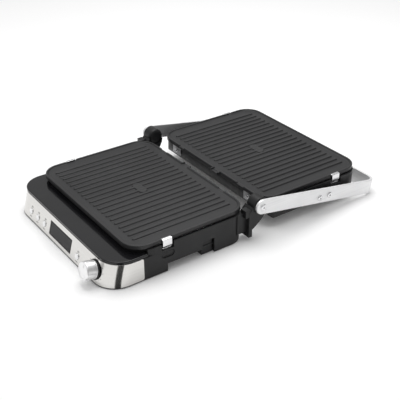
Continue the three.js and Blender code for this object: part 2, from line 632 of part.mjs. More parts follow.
// ---------------------------------------------------------------- steel band and control deck
// Rounds one end corner of the band; way is +1 at the lower edge and -1 at the upper one.
function bandCornerTool(z, way) {
  const y = BAND_END - BAND_CORNER;
  const arc = arcPoints(0, 0, BAND_CORNER, 0, 1, 5).map(([a, b]) => [y + a, z + way * (BAND_CORNER - b)]);
  const points = [
    [BAND_END + 1, z - way], [BAND_END + 1, z + way * BAND_CORNER], ...arc, [y, z - way],
  ];
  if (way < 0) points.reverse();
  return sideSlab(points, -WALL_X - 3, WALL_X + 3);
}

function steelBand() {
  const outer = slab(frontPlan(0, BAND_END), BAND_BOTTOM, BAND_TOP, 6);
  const inner = slab(frontPlan(BAND_THICK, BAND_END + 9), BAND_BOTTOM - CUT_OVER, BAND_TOP + CUT_OVER, 6);
  const corners = [bandCornerTool(BAND_TOP, -1), bandCornerTool(BAND_BOTTOM, 1)];
  return cut(lean(cut(outer, inner)), ...corners, ...faceOpenings());
}

function controlDeck() {
  const faceTop = FRONT_FOOT + FRONT_LEAN * (BAND_TOP - BAND_BOTTOM);
  const plan = evenPlan(WALL_X - 0.2, faceTop + 0.2, DECK_BACK - FIT_GAP, FRONT_CORNER - 2);
  const well = slab(neckPlan(-0.4, 0), BAND_TOP - 9, DECK_TOP + 16);
  return cut(softSlab(plan, BAND_TOP + FIT_GAP, DECK_TOP, 1.4), well);
}

// ---------------------------------------------------------------- hinge
function hingeTower() {
  const foot = 6;
  const back = HINGE_Y + DRUM_RADIUS;
  const front = BODY_BACK + 0.5;
  const column = sideSlab([
    [front, foot], [HINGE_Y - 15, foot], [HINGE_Y - 15, HINGE_Z - 39.5],
    [HINGE_Y - 8, HINGE_Z - 35], [HINGE_Y - 1, HINGE_Z - 29.5], [HINGE_Y + 7, HINGE_Z - 22.5],
    [back - 2, HINGE_Z - 12.5], [back, HINGE_Z], [HINGE_Y - DRUM_RADIUS, HINGE_Z], [front, BODY_TOP],
  ], TOWER_IN, TOWER_OUT);
  const ear = block(WALL_X - 7.2, BODY_BACK - 6.5, BODY_TOP - 7,
    TOWER_OUT - 0.5, BODY_BACK + 3, BODY_TOP + 6);
  const saddle = rodX(TOWER_IN - CUT_OVER, TOWER_OUT + CUT_OVER, HINGE_Y, HINGE_Z, DRUM_RADIUS + FIT_GAP, 28);
  return cut(union(column, ear), saddle);
}

function hingeDrum() {
  const r = DRUM_RADIUS;
  const end = DRUM_LENGTH;
  const drum = turned([
    [0, 0], [r - 5, 0], [r - 1.4, 1.4], [r, 4.6], [r, end - 1], [r - 0.8, end], [0, end],
  ], 24);
  const bore = rodX(TOWER_IN + 3, ARM_OUTER, HINGE_Y, HINGE_Z, HINGE_PIN_RADIUS + SCREW_GAP, 16);
  return cut(drum.rotateZ(-Math.PI / 2).translate(TOWER_IN, HINGE_Y, HINGE_Z), bore);
}

// Screw along X: domed head outside the arm, plain shank inwards to shankEnd.
function sideScrew(y, z, headRadius, shankRadius, shankEnd) {
  const seat = ARM_OUTER + FIT_GAP;
  const screw = turned([
    [0, shankEnd], [shankRadius, shankEnd], [shankRadius, seat], [headRadius, seat],
    [headRadius, seat + 0.9], [headRadius - 1, seat + 1.7], [0, seat + 2],
  ], 16);
  const socket = new THREE.CylinderGeometry(1.8, 1.8, 2, 6).rotateZ(Math.PI / 2);
  return cut(screw.rotateZ(-Math.PI / 2).translate(0, y, z), socket.translate(seat + 2, y, z));
}

// ---------------------------------------------------------------- handle
const [PIVOT_Y, PIVOT_Z] = armPoint(LID_PIVOT_ALONG, -LID_PIVOT_LOW);
const [STOP_Y, STOP_Z] = armPoint(LID_PIVOT_ALONG + STOP_PIN_AHEAD, 0);

// One bent bar: two arms and the grip between them, with half-round ends at the hinge.
function lidHandle() {
  const start = -ARM_HALF - 1;
  const plan = (x, y0, y1, bend) => evenPlan(x, y0, y1, 0, bend);
  const outer = slab(plan(ARM_OUTER, start, ARM_LENGTH, HANDLE_CORNER), -ARM_HALF, ARM_HALF, 5);
  const inner = slab(plan(ARM_INNER, start - 5, ARM_LENGTH - ARM_THICK, HANDLE_CORNER - ARM_THICK),
    -ARM_HALF - CUT_OVER, ARM_HALF + CUT_OVER, 5);
  const side = [
    ...arcPoints(0, 0, ARM_HALF, 1, 3, 12), [ARM_LENGTH + 5, -ARM_HALF], [ARM_LENGTH + 5, ARM_HALF],
  ];
  const ends = sideSlab(side, -ARM_OUTER - 3, ARM_OUTER + 3);
  const bar = toGeometry(toSolid(cut(outer, inner)).intersect(toSolid(ends)));
  const span = ARM_OUTER + 5;
  return cut(bar.rotateX(-ARM_PITCH).translate(0, HINGE_Y, HINGE_Z),
    rodX(-span, span, HINGE_Y, HINGE_Z, HINGE_PIN_RADIUS + SCREW_GAP, 16),
    rodX(-span, span, PIVOT_Y, PIVOT_Z, PIVOT_RADIUS + SCREW_GAP, 16),
    rodX(-span, span, STOP_Y, STOP_Z, STOP_RADIUS + SCREW_GAP, 16));
}

// Spacer between a side wall of the lid and its arm.
function pivotBush() {
  const outer = rodX(WALL_X + FIT_GAP, ARM_INNER - FIT_GAP, PIVOT_Y, PIVOT_Z, PIVOT_RADIUS + 3.3, 28);
  const bore = rodX(WALL_X - CUT_OVER, ARM_INNER + CUT_OVER, PIVOT_Y, PIVOT_Z, PIVOT_RADIUS + SCREW_GAP);
  return cut(outer, bore);
}

// ---------------------------------------------------------------- lid housing
const BRACKET_X = -(WALL_X - 50.5);
const BRACKET_Z = BODY_TOP - 9;
const BRACKET_THICK = 1.5;
const BRACKET_HOLE = 1.8;
const BRACKET_FACE = LID_NEAR - FIT_GAP;

// The lid's shell drawn in by inset: its plan, its side view and its end view in common.
function lidForm(inset, top) {
  const low = LID_BOTTOM + inset;
  const near = LID_NEAR + inset;
  const far = LID_FAR - inset;
  const wide = WALL_X - inset;
  const nearRound = Math.min(LID_NEAR_ROUND, BODY_TOP - low - 1);
  const plan = slab(evenPlan(wide, near, far, BODY_BACK_CORNER - inset, PLATE_CORNER - inset),
    LID_BOTTOM - 5, top);
  const side = sideSlab([
    [LID_FAR + 5, top], [LID_NEAR - 5, top], [near - 5, low + nearRound],
    ...arcPoints(near + nearRound, low + nearRound, nearRound, 2, 3, 8),
    ...arcPoints(far - LID_FAR_ROUND, low + LID_FAR_ROUND, LID_FAR_ROUND, 3, 4, 6),
    [LID_FAR + 5, low + LID_FAR_ROUND],
  ], -WALL_X - 5, WALL_X + 5);
  const ends = new THREE.Shape();
  ends.moveTo(-wide, top + 1);
  ends.lineTo(-wide, low + LID_SIDE_ROUND);
  ends.absarc(-wide + LID_SIDE_ROUND, low + LID_SIDE_ROUND, LID_SIDE_ROUND, Math.PI, 1.5 * Math.PI, false);
  ends.lineTo(wide - LID_SIDE_ROUND, low);
  ends.absarc(wide - LID_SIDE_ROUND, low + LID_SIDE_ROUND, LID_SIDE_ROUND, -Math.PI / 2, 0, false);
  ends.lineTo(wide, top + 1);
  const depth = LID_FAR - LID_NEAR + 40;
  const across = new THREE.ExtrudeGeometry(ends, { depth, bevelEnabled: false, curveSegments: 3 });
  across.rotateX(Math.PI / 2).translate(0, LID_FAR + 20, 0);
  return toSolid(plan).intersect(toSolid(side)).intersect(toSolid(across));
}

// Curved slot that the stop pin travels in while the lid floats on its pivots.
function stopSlot(x0, x1) {
  const reach = Math.hypot(STOP_Y - PIVOT_Y, STOP_Z - PIVOT_Z);
  const from = Math.atan2(STOP_Z - PIVOT_Z, STOP_Y - PIVOT_Y);
  const spare = 0.6;
  const steps = 4;
  const bites = [];
  for (let i = 0; i <= steps; i += 1) {
    const tilt = -spare + (i / steps) * (LID_SWING + 2 * spare);
    const a = from - THREE.MathUtils.degToRad(tilt);
    const y = PIVOT_Y + reach * Math.cos(a);
    const z = PIVOT_Z + reach * Math.sin(a);
    bites.push(rodX(x0, x1, y, z, STOP_RADIUS + SCREW_GAP, 12));
  }
  return bites;
}

function lidHousing() {
  const shell = toGeometry(lidForm(0, BODY_TOP).subtract(lidForm(WALL, BODY_TOP + 3)));
  const x0 = WALL_X - WALL - 4;
  const x1 = WALL_X + 5;
  const tools = [
    rodX(x0, x1, PIVOT_Y, PIVOT_Z, PIVOT_RADIUS + SCREW_GAP),
    rodY(LID_NEAR - 4, LID_NEAR + 8, -BRACKET_X, BRACKET_Z, BRACKET_HOLE),
    ...stopSlot(x0, x1),
  ];
  return cut(fitClips(shell, toLid), ...tools.flatMap(bothSides));
}

function lidTopPanel() {
  const plan = evenPlan(WALL_X - 32, LID_NEAR + 34, LID_FAR - 30, 12, 12);
  return softSlab(plan, LID_BOTTOM - 1.6, LID_BOTTOM - FIT_GAP, 0.4, 1);
}

function lidBracket() {
  const y = BRACKET_FACE;
  const plate = block(BRACKET_X - 11.5, y - BRACKET_THICK, BRACKET_Z - 8,
    BRACKET_X + 11.5, y, BODY_TOP - 0.8);
  return cut(plate, rodY(y - 5, y + 5, BRACKET_X, BRACKET_Z, BRACKET_HOLE));
}

function bracketScrew() {
  const screw = turned([
    [0, -2.2], [2.6, -1.9], [3.6, -0.9], [3.6, 0], [BRACKET_HOLE - FIT_GAP, 0],
    [BRACKET_HOLE - FIT_GAP, 5.5], [0, 5.5],
  ], 16);
  return screw.translate(BRACKET_X, BRACKET_FACE - BRACKET_THICK - FIT_GAP, BRACKET_Z);
}

// ---------------------------------------------------------------- controls
const BOARD_X0 = BUTTONS[0].x - 23;
const BOARD_X1 = KNOB_X - 22;
const BOARD_IN = 9;             // control board behind the face
const BOARD_THICK = 1.6;
const BOARD_TOP = 12;           // upper edge above the middle of the face
const COVER_TOP = FOOT_HEIGHT + FIT_GAP + COVER_THICK;
const BOARD_RISE = (BOARD_IN + BOARD_THICK) * Math.sin(SLANT);
const BOARD_LOW = (COVER_TOP + FIT_GAP - FACE_MID_Z + BOARD_RISE) / Math.cos(SLANT);
const ENCODER_SIZE = 15;

function knob() {
  const r = KNOB_RADIUS;
  const bore = SHAFT_RADIUS + 0.2 + SCREW_GAP;
  const top = KNOB_LENGTH;
  const body = turned([
    [0, 14], [bore, 14], [bore, 2.1], [r - 0.4, 2.1], [r, 2.6], [r - 0.6, top - 1.2], [r - KNOB_EDGE, top],
    [r - 2.6, top - 0.2], [r - 3.2, top - 0.6], [0, top - 0.6],
  ], 32).rotateX(Math.PI);
  const pointer = new THREE.BoxGeometry(1.2, 0.8, 6).translate(0, -top + 0.6, r - 7.5);
  return onFace(cut(body, pointer), KNOB_X);
}

function knobCollar() {
  const radius = KNOB_RADIUS + 1.2;
  const outer = new THREE.CylinderGeometry(radius, radius, 1.5, 32);
  const bore = new THREE.CylinderGeometry(SHAFT_RADIUS + 1, SHAFT_RADIUS + 1, 4, 24);
  return onFace(cut(outer, bore).translate(0, -0.75 - FIT_GAP, 0), KNOB_X);
}

function pushButton(b) {
  const r = BUTTON_RADIUS;
  const button = turned([
    [0, -4.6], [r + 1, -4.6], [r + 1, -3.4], [r, -3.4], [r, 1.0], [r - 0.6, 1.6], [0, 1.7],
  ], 20);
  return onFace(button.rotateX(Math.PI), b.x, b.along);
}

function controlBoard() {
  const middle = (BOARD_X0 + BOARD_X1) / 2;
  const boardY = BOARD_IN + BOARD_THICK / 2;
  const board = new THREE.BoxGeometry(BOARD_X1 - BOARD_X0, BOARD_THICK, BOARD_TOP - BOARD_LOW);
  board.translate(middle, boardY, (BOARD_TOP + BOARD_LOW) / 2);
  const switches = BUTTONS.map((b) => {
    return new THREE.BoxGeometry(6, 3.2, 6).translate(b.x, BOARD_IN - 1.4, b.along);
  });
  const screenTop = DISPLAY_HEIGHT / 2 - 2 - DISPLAY_LOW;
  const screenLow = Math.max(screenTop + 4 - DISPLAY_HEIGHT, BOARD_LOW);
  const screen = new THREE.BoxGeometry(DISPLAY_WIDTH - 11, 6.4, screenTop - screenLow);
  screen.translate(DISPLAY_X, BOARD_IN - 2.6, (screenTop + screenLow) / 2);
  return onFace(union(board, screen, ...switches), 0);
}

function encoderBody() {
  const body = new THREE.BoxGeometry(ENCODER_SIZE, 9, ENCODER_SIZE).translate(0, 9.5, 0);
  const bush = new THREE.CylinderGeometry(SHAFT_RADIUS + 2.5, SHAFT_RADIUS + 2.5, 2, 24).translate(0, 4.2, 0);
  const radius = SHAFT_RADIUS + SCREW_GAP;
  const bore = new THREE.CylinderGeometry(radius, radius, 9, 24).translate(0, 7, 0);
  return onFace(cut(union(body, bush), bore), KNOB_X);
}

function knobShaft() {
  return onFace(new THREE.CylinderGeometry(SHAFT_RADIUS, SHAFT_RADIUS, 24, 24).translate(0, -1.4, 0), KNOB_X);
}

// Board on the cover plate with four tall components, given from its left front corner.
function powerBoard() {
  const y = BODY_FRONT + 8;
  const z = FOOT_HEIGHT + 3.7;
  const board = block(-70, y, z, 70, FLANK_END - 8, z + BOARD_THICK);
  const component = (x0, x1, y0, y1, drop) => {
    return block(x0, y + y0, z + BOARD_THICK - 0.3, x1, y + y1, LIFT - drop);
  };
  return union(board, component(-60, -44, 6, 26, 0.9), component(-36, -20, 6, 26, 0.9),
    component(0, 26, 8, 30, 1.7), component(40, 60, 6, 32, 3.5));
}

// ---------------------------------------------------------------- feet and cord gland
const FRONT_RUBBER_X = WALL_X - 32;
const FRONT_RUBBER_Y = FRONT_FOOT + 30.6;
const REAR_RUBBER_TOP = 1.3;
const GLAND_NECK = 6;

function cordGland() {
  const n = GLAND_NECK;
  const gland = turned([
    [0, -6.4], [n + 2.6, -6.4], [n + 2.6, -3.6], [n, -3.6], [n, 0.4], [n + 2.8, 0.4], [n + 2.8, 3],
    [n + 1.2, 5], [n - 2.2, 5], [n - 2.2, 2], [0, 2],
  ], 16);
  return gland.translate(WALL_X - GLAND_INSET, BODY_BACK, GLAND_Z);
}

// ---------------------------------------------------------------- assembly
// Adds a left and a right copy; the geometry given is the right one, or the left one if isLeft.
function addPair(name, geometry, finish, isLeft = false) {
  add(`${name}_left`, isLeft ? geometry : mirrorX(geometry), finish);
  add(`${name}_right`, isLeft ? mirrorX(geometry) : geometry, finish);
}

add('base_housing', baseHousing(), 'mattBlack');
add('front_cover_plate', frontCoverPlate(), 'mattBlack');
add('base_floor', baseFloor(), 'mattBlack');
add('steel_band', steelBand(), 'steel');
add('control_deck', controlDeck(), 'glossBlack');
addPair('front_foot', rodZ(0, FOOT_HEIGHT, FRONT_RUBBER_X, FRONT_RUBBER_Y, 8, 28, 9), 'rubber');
addPair('rear_foot', rodZ(0, REAR_RUBBER_TOP, POST_X, POST_Y, 7.5, 28, 8.5), 'rubber');
add('display_lens', faceBox(DISPLAY_X, -DISPLAY_LOW, DISPLAY_WIDTH, DISPLAY_HEIGHT, 2.4, 0.1), 'lens');
add('control_board', controlBoard(), 'board');
add('power_board', powerBoard(), 'board');
add('cord_gland', cordGland(), 'rubber');
add('knob_collar', knobCollar(), 'glossBlack');
add('encoder_body', encoderBody(), 'mattBlack');
add('knob', knob(), 'aluminium');
add('knob_shaft', knobShaft(), 'steel');
for (const b of BUTTONS) add(b.name, pushButton(b), 'aluminium');

const plateKit = [
  ['grill_plate', grillPlate(), 'castPlate'],
  ['heater', heaterTube(), 'steel'],
  ['reflector', reflector(), 'aluminium'],
  ['thermostat', thermostat(), 'steel'],
];
for (const [name, geometry, finish] of plateKit) {
  add(`${name}_lower`, geometry, finish);
  add(`${name}_upper`, toLid(geometry), finish);
}

const clipKit = [
  ['plate_clip', clipStrap(), 'chrome'],
  ['clip_pin', clipPin(), 'steel'],
  ['release_button', releaseButton(), 'mattBlack'],
];
for (const [name, geometry, finish] of clipKit) {
  addPair(`${name}_lower`, geometry, finish);
  addPair(`${name}_upper`, toLid(geometry), finish, true);
}

add('lid_handle', lidHandle(), 'aluminium');
addPair('hinge_tower', hingeTower(), 'mattBlack');
addPair('hinge_drum', hingeDrum(), 'mattBlack');
addPair('hinge_screw', sideScrew(HINGE_Y, HINGE_Z, 5.4, HINGE_PIN_RADIUS, TOWER_IN + 4), 'steel');
addPair('lid_pivot_screw', sideScrew(PIVOT_Y, PIVOT_Z, 4.8, PIVOT_RADIUS, WALL_X - 8), 'steel');
addPair('lid_stop_pin', sideScrew(STOP_Y, STOP_Z, 4.8, STOP_RADIUS, WALL_X - 6), 'steel');
addPair('pivot_bush', pivotBush(), 'mattBlack');
addPair('lid_bracket', lidBracket(), 'steel', true);
addPair('bracket_screw', bracketScrew(), 'chrome', true);
add('lid_housing', lidHousing(), 'mattBlack');
add('lid_top_panel', lidTopPanel(), 'steel');

export default group;
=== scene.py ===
"""Looks of a panini press lying open: two ribbed plates, a steel-fronted control block and a bent handle."""

import json
import math

import bmesh
import bpy
from mathutils import Matrix, Vector


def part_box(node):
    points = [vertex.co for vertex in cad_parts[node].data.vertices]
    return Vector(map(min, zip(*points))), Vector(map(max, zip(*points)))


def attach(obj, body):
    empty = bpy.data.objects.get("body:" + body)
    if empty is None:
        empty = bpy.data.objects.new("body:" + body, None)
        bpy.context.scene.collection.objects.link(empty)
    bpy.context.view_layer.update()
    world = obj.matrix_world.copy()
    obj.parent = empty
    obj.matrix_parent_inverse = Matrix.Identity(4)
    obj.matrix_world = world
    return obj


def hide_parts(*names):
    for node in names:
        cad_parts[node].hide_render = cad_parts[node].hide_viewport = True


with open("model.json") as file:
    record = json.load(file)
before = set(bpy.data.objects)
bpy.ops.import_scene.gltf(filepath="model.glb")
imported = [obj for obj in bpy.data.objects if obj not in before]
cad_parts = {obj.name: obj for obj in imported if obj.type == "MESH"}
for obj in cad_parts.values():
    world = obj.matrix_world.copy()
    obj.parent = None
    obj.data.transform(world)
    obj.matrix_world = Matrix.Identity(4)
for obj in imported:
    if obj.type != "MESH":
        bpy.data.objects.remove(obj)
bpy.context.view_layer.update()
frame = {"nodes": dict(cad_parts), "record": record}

# ---------------------------------------------------------------- sizes, in millimetres
MM = 0.001
PLATE_DEPTH = 212.0
PLATE_CORNER = 31.0
PLATE_FLOOR_DROP = 2.5
RIB_COUNT = 20
RIB_PITCH = 13.0
RIB_LENGTH = 178.0
RIB_FOOT = 8.0
BAND_CORNER = 38.0
BAND_THICKNESS = 1.2
FACE_LEAN = 0.274
LEAN_BLEND = 26.0
DECK_CORNER = 36.0
WELL_CORNER = 30.4
ARM_THICKNESS = 4.5
ARM_HEIGHT = 25.0
HANDLE_CORNER = 20.0
CORNER_STEPS = 14
WELL_HALF_WIDTH = 146.4
WELL_REACH = 102.4
REAR_NOTCHES = ((-97.0, -77.0), (74.0, 90.0))
SPOUT_NOTCH = (-31.0, -13.0)
CLIP_HALF_WIDTH = 8.0
KNOB_RADIUS = 14.5
KNOB_LENGTH = 20.0
DIAL_RADIUS = 18.0
DIAL_TOP = 15.5
DIAL_MARKS = 9
WEB_FOOT = 14.5
DISPLAY_SIZE = (71.0, 23.0)
SMALL_BUTTONS = ("mode_button", "heat_button", "timer_button")
BUTTONS = SMALL_BUTTONS + ("start_button",)
SIDES = {"left": -1.0, "right": 1.0}
CARD_AZIMUTH = 62.0
CAMERA_AZIMUTH = 54.46
CAMERA_ELEVATION = 30.53
CAMERA_DISTANCE = 1.243
SENSOR_WIDTH = 36.0
FOCAL_SHARE = 778.3 / 400
MERGE_GAP = 0.0005
BODY_OF = {name: body for body, names in frame["record"]["behaviour"]["bodies"].items() for name in names}


def node_box(node):
    """Lowest and highest corner of a CAD node, in millimetres."""
    low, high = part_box(node)
    return low / MM, high / MM


def node_middle(node):
    low, high = node_box(node)
    return (low + high) / 2


plate_low, plate_high = node_box("grill_plate_lower")
PLATE_MID_Y = plate_low.y + PLATE_DEPTH / 2
PLATE_HALF = plate_high.x
RIM_TOP = plate_high.z
SKIRT_FOOT = RIM_TOP - 6.5
HINGE = node_middle("hinge_drum_right")
LID_MID_Y = 2 * HINGE.y - PLATE_MID_Y
CLIP_Y = node_middle("plate_clip_lower_right").y
band_low, band_high = node_box("steel_band")
handle_low, handle_high = node_box("lid_handle")
WALL_X = band_high.x
FACE_ANGLE = math.atan(FACE_LEAN)
FACE_MIDDLE_Z = (band_low.z + band_high.z) / 2
FACE_MIDDLE_Y = band_low.y + FACE_LEAN * (FACE_MIDDLE_Z - band_low.z)


# ---------------------------------------------------------------- mesh helpers
def link(made):
    bpy.context.scene.collection.objects.link(made)


def rounded_face(bm, low, high, radii, z, steps=CORNER_STEPS):
    """A flat face with rounded corners; radii run front left, front right, back right, back left."""
    made = bmesh.ops.create_grid(bm, x_segments=1, y_segments=1, size=0.5)["verts"]
    size = (high[0] - low[0], high[1] - low[1], 1.0)
    bmesh.ops.scale(bm, vec=size, verts=made)
    middle = ((low[0] + high[0]) / 2, (low[1] + high[1]) / 2, z)
    bmesh.ops.translate(bm, vec=middle, verts=made)
    across = sorted(made, key=lambda v: v.co.x)
    left, right = across[:2], across[2:]
    left.sort(key=lambda v: v.co.y)
    right.sort(key=lambda v: v.co.y)
    face = made[0].link_faces[0]
    for corner, radius in zip((left[0], right[0], right[1], left[1]), radii):
        if radius > 0:
            bmesh.ops.bevel(bm, geom=[corner], offset=radius, offset_type="OFFSET", segments=steps,
                            profile=0.5, affect="VERTICES", material=-1, clamp_overlap=False)
    return face if face.is_valid else max(bm.faces, key=lambda f: f.calc_center_median().z)


def climb(bm, face, steps):
    """Insets the face and lifts it, once for each (inset, rise) pair."""
    for inset, rise in steps:
        bmesh.ops.inset_region(bm, faces=[face], thickness=inset, use_even_offset=True, use_boundary=True)
        bmesh.ops.translate(bm, vec=(0, 0, rise), verts=face.verts)


def seal(bm):
    """Merges doubles, closes open borders and turns every face outwards."""
    bmesh.ops.remove_doubles(bm, verts=bm.verts, dist=MERGE_GAP)
    borders = [e for e in bm.edges if e.is_boundary]
    if borders:
        bmesh.ops.holes_fill(bm, edges=borders, sides=0)
    bmesh.ops.recalc_face_normals(bm, faces=bm.faces)


def rounded_slab(low, high, radii, z0, z1, edge=0.6, steps=CORNER_STEPS):
    """A slab with rounded plan corners and softly rounded top and bottom edges."""
    bm = bmesh.new()
    quarter = [math.radians(22.5 * i) for i in range(5)]
    rise = [(edge * (math.cos(a) - math.cos(b)), edge * (math.sin(b) - math.sin(a)))
            for a, b in zip(quarter, quarter[1:])]
    face = rounded_face(bm, (low[0], low[1]), (high[0], high[1]), radii, z0 + edge, steps)
    climb(bm, face, [(0, z1 - z0 - 2 * edge)] + rise)
    border = [e for e in bm.edges if e.is_boundary]
    bottom = bmesh.ops.holes_fill(bm, edges=border, sides=0)["faces"][0]
    climb(bm, bottom, [(inset, -up) for inset, up in rise])
    bmesh.ops.recalc_face_normals(bm, faces=bm.faces)
    return bm


def turned(profile, steps):
    """A solid of revolution about Z from (radius, height) points."""
    bm = bmesh.new()
    verts = [bm.verts.new((radius, 0, height)) for radius, height in profile]
    edges = [bm.edges.new(pair) for pair in zip(verts, verts[1:])]
    bmesh.ops.spin(bm, geom=verts + edges, cent=(0, 0, 0), axis=(0, 0, 1), angle=2 * math.pi,
                   steps=steps, use_merge=True)
    seal(bm)
    return bm


def round_edges(bm, width, angle, segments=2):
    sharp = [e for e in bm.edges if e.is_manifold and e.calc_face_angle(0) > math.radians(angle)]
    if sharp:
        bmesh.ops.bevel(bm, geom=sharp, offset=width, offset_type="OFFSET", segments=segments,
                        profile=0.5, affect="EDGES", material=-1, clamp_overlap=True)


def moved(bm, matrix):
    bmesh.ops.transform(bm, matrix=matrix, verts=bm.verts)
    if matrix.determinant() < 0:
        bmesh.ops.reverse_faces(bm, faces=bm.faces)
    return bm


def shift(x, y, z):
    return Matrix.Translation((x, y, z))


def turn(axis, degrees):
    return Matrix.Rotation(math.radians(degrees), 4, axis)


def mirrored(side):
    """Turns a piece built for the right side into the one for the given side."""
    return Matrix.Scale(side, 4, (1, 0, 0))


def set_on_face(bm, x, along=0.0):
    """Takes a piece built upright on the origin to the leaning control face, pointing out of it."""
    lean = Matrix.Rotation(-FACE_ANGLE, 4, "X")
    place = shift(x, FACE_MIDDLE_Y, FACE_MIDDLE_Z) @ lean @ shift(0, 0, along)
    return moved(bm, place @ turn("X", 90))


def join_into(target, *others):
    """Adds the faces of the other meshes to the first."""
    for other in others:
        keep = bpy.data.meshes.new("joined")
        other.to_mesh(keep)
        target.from_mesh(keep)
        bpy.data.meshes.remove(keep)
        other.free()
    return target


def carve(bm, *cutters):
    """Cuts the shapes of the cutters out of the mesh."""
    work = bpy.data.meshes.new("work")
    bm.to_mesh(work)
    body = bpy.data.objects.new("work", work)
    link(body)
    tools = []
    for cutter in cutters:
        mesh = bpy.data.meshes.new("cutter")
        cutter.to_mesh(mesh)
        cutter.free()
        tool = bpy.data.objects.new("cutter", mesh)
        link(tool)
        cut = body.modifiers.new("cut", "BOOLEAN")
        cut.operation = "DIFFERENCE"
        cut.solver = "EXACT"
        cut.object = tool
        tools.append(tool)
    graph = bpy.context.evaluated_depsgraph_get()
    result = bpy.data.meshes.new_from_object(body.evaluated_get(graph))
    bm.clear()
    bm.from_mesh(result)
    for thing in tools + [body]:
        mesh = thing.data
        bpy.data.objects.remove(thing)
        bpy.data.meshes.remove(mesh)
    bpy.data.meshes.remove(result)
    bmesh.ops.remove_doubles(bm, verts=bm.verts, dist=MERGE_GAP)
    return bm


def copy_of(node):
    """A merged copy of a CAD node's mesh, in millimetres, with its flat faces joined up."""
    bm = bmesh.new()
    bm.from_mesh(frame["nodes"][node].data)
    bmesh.ops.scale(bm, vec=(1 / MM, 1 / MM, 1 / MM), verts=bm.verts)
    bmesh.ops.remove_doubles(bm, verts=bm.verts, dist=0.004)
    bmesh.ops.dissolve_limit(bm, angle_limit=math.radians(0.5), verts=bm.verts, edges=bm.edges)
    return bm


def piece(bm, name, body, finish, replaces=(), smooth=35.0):
    """Makes the mesh one named object in metres that rides on a CAD body."""
    bmesh.ops.scale(bm, vec=(MM, MM, MM), verts=bm.verts)
    mesh = bpy.data.meshes.new(name)
    bm.to_mesh(mesh)
    bm.free()
    mesh.polygons.foreach_set("use_smooth", [True] * len(mesh.polygons))
    mesh.set_sharp_from_angle(angle=math.radians(smooth))
    mesh.materials.append(FINISHES[finish])
    made = bpy.data.objects.new(name, mesh)
    link(made)
    even = made.modifiers.new("even_normals", "WEIGHTED_NORMAL")
    even.keep_sharp = True
    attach(made, body)
    if replaces:
        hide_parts(*replaces)


# ---------------------------------------------------------------- shader groups
def new_group(name, inputs, outputs):
    group = bpy.data.node_groups.new(name, "ShaderNodeTree")
    for label, kind, value in inputs:
        socket = group.interface.new_socket(label, in_out="INPUT", socket_type=kind)
        if value is not None:
            socket.default_value = value
    for label, kind in outputs:
        group.interface.new_socket(label, in_out="OUTPUT", socket_type=kind)
    start = group.nodes.new("NodeGroupInput")
    end = group.nodes.new("NodeGroupOutput")
    return group, start, end


def node(tree, kind, **settings):
    made = tree.nodes.new(kind)
    for key, value in settings.items():
        setattr(made, key, value)
    return made


def math_node(tree, operation, a, b, clamp=False):
    made = node(tree, "ShaderNodeMath", operation=operation, use_clamp=clamp)
    for socket, value in zip(made.inputs, (a, b)):
        if isinstance(value, (int, float)):
            socket.default_value = value
        else:
            tree.links.new(value, socket)
    return made.outputs[0]


def ramp_node(tree, value, low, high, to_low=0.0, to_high=1.0):
    made = node(tree, "ShaderNodeMapRange", interpolation_type="SMOOTHSTEP")
    limits = {"From Min": low, "From Max": high, "To Min": to_low, "To Max": to_high}
    for label, number in limits.items():
        if isinstance(number, (int, float)):
            made.inputs[label].default_value = number
        else:
            tree.links.new(number, made.inputs[label])
    tree.links.new(value, made.inputs["Value"])
    return made.outputs["Result"]


def noise_node(tree, vector, scale, detail=3.0, rough=0.5):
    made = node(tree, "ShaderNodeTexNoise")
    made.inputs["Detail"].default_value = detail
    made.inputs["Roughness"].default_value = rough
    if isinstance(scale, (int, float)):
        made.inputs["Scale"].default_value = scale
    else:
        tree.links.new(scale, made.inputs["Scale"])
    tree.links.new(vector, made.inputs["Vector"])
    return made.outputs["Fac"]


def edge_wear_group():
    """Mask of the outer edges, broken up by noise, and the normal of softly rounded edges."""
    group, start, end = new_group("edge_wear", [
        ("Vector", "NodeSocketVector", None),
        ("Breakup", "NodeSocketFloat", 180.0),
    ], [("Mask", "NodeSocketFloat"), ("Normal", "NodeSocketVector")])
    rounded = node(group, "ShaderNodeBevel", samples=6)
    rounded.inputs["Radius"].default_value = 0.7 * MM
    flat = node(group, "ShaderNodeNewGeometry")
    agree = node(group, "ShaderNodeVectorMath", operation="DOT_PRODUCT")
    group.links.new(rounded.outputs["Normal"], agree.inputs[0])
    group.links.new(flat.outputs["True Normal"], agree.inputs[1])
    bend = math_node(group, "SUBTRACT", 1.0, agree.outputs["Value"], clamp=True)
    edge = ramp_node(group, bend, 0.02, 0.16)
    breakup = noise_node(group, start.outputs["Vector"], start.outputs["Breakup"])
    patches = ramp_node(group, breakup, 0.42, 0.68)
    worn = math_node(group, "MULTIPLY", edge, patches)
    group.links.new(worn, end.inputs["Mask"])
    group.links.new(rounded.outputs["Normal"], end.inputs["Normal"])
    return group


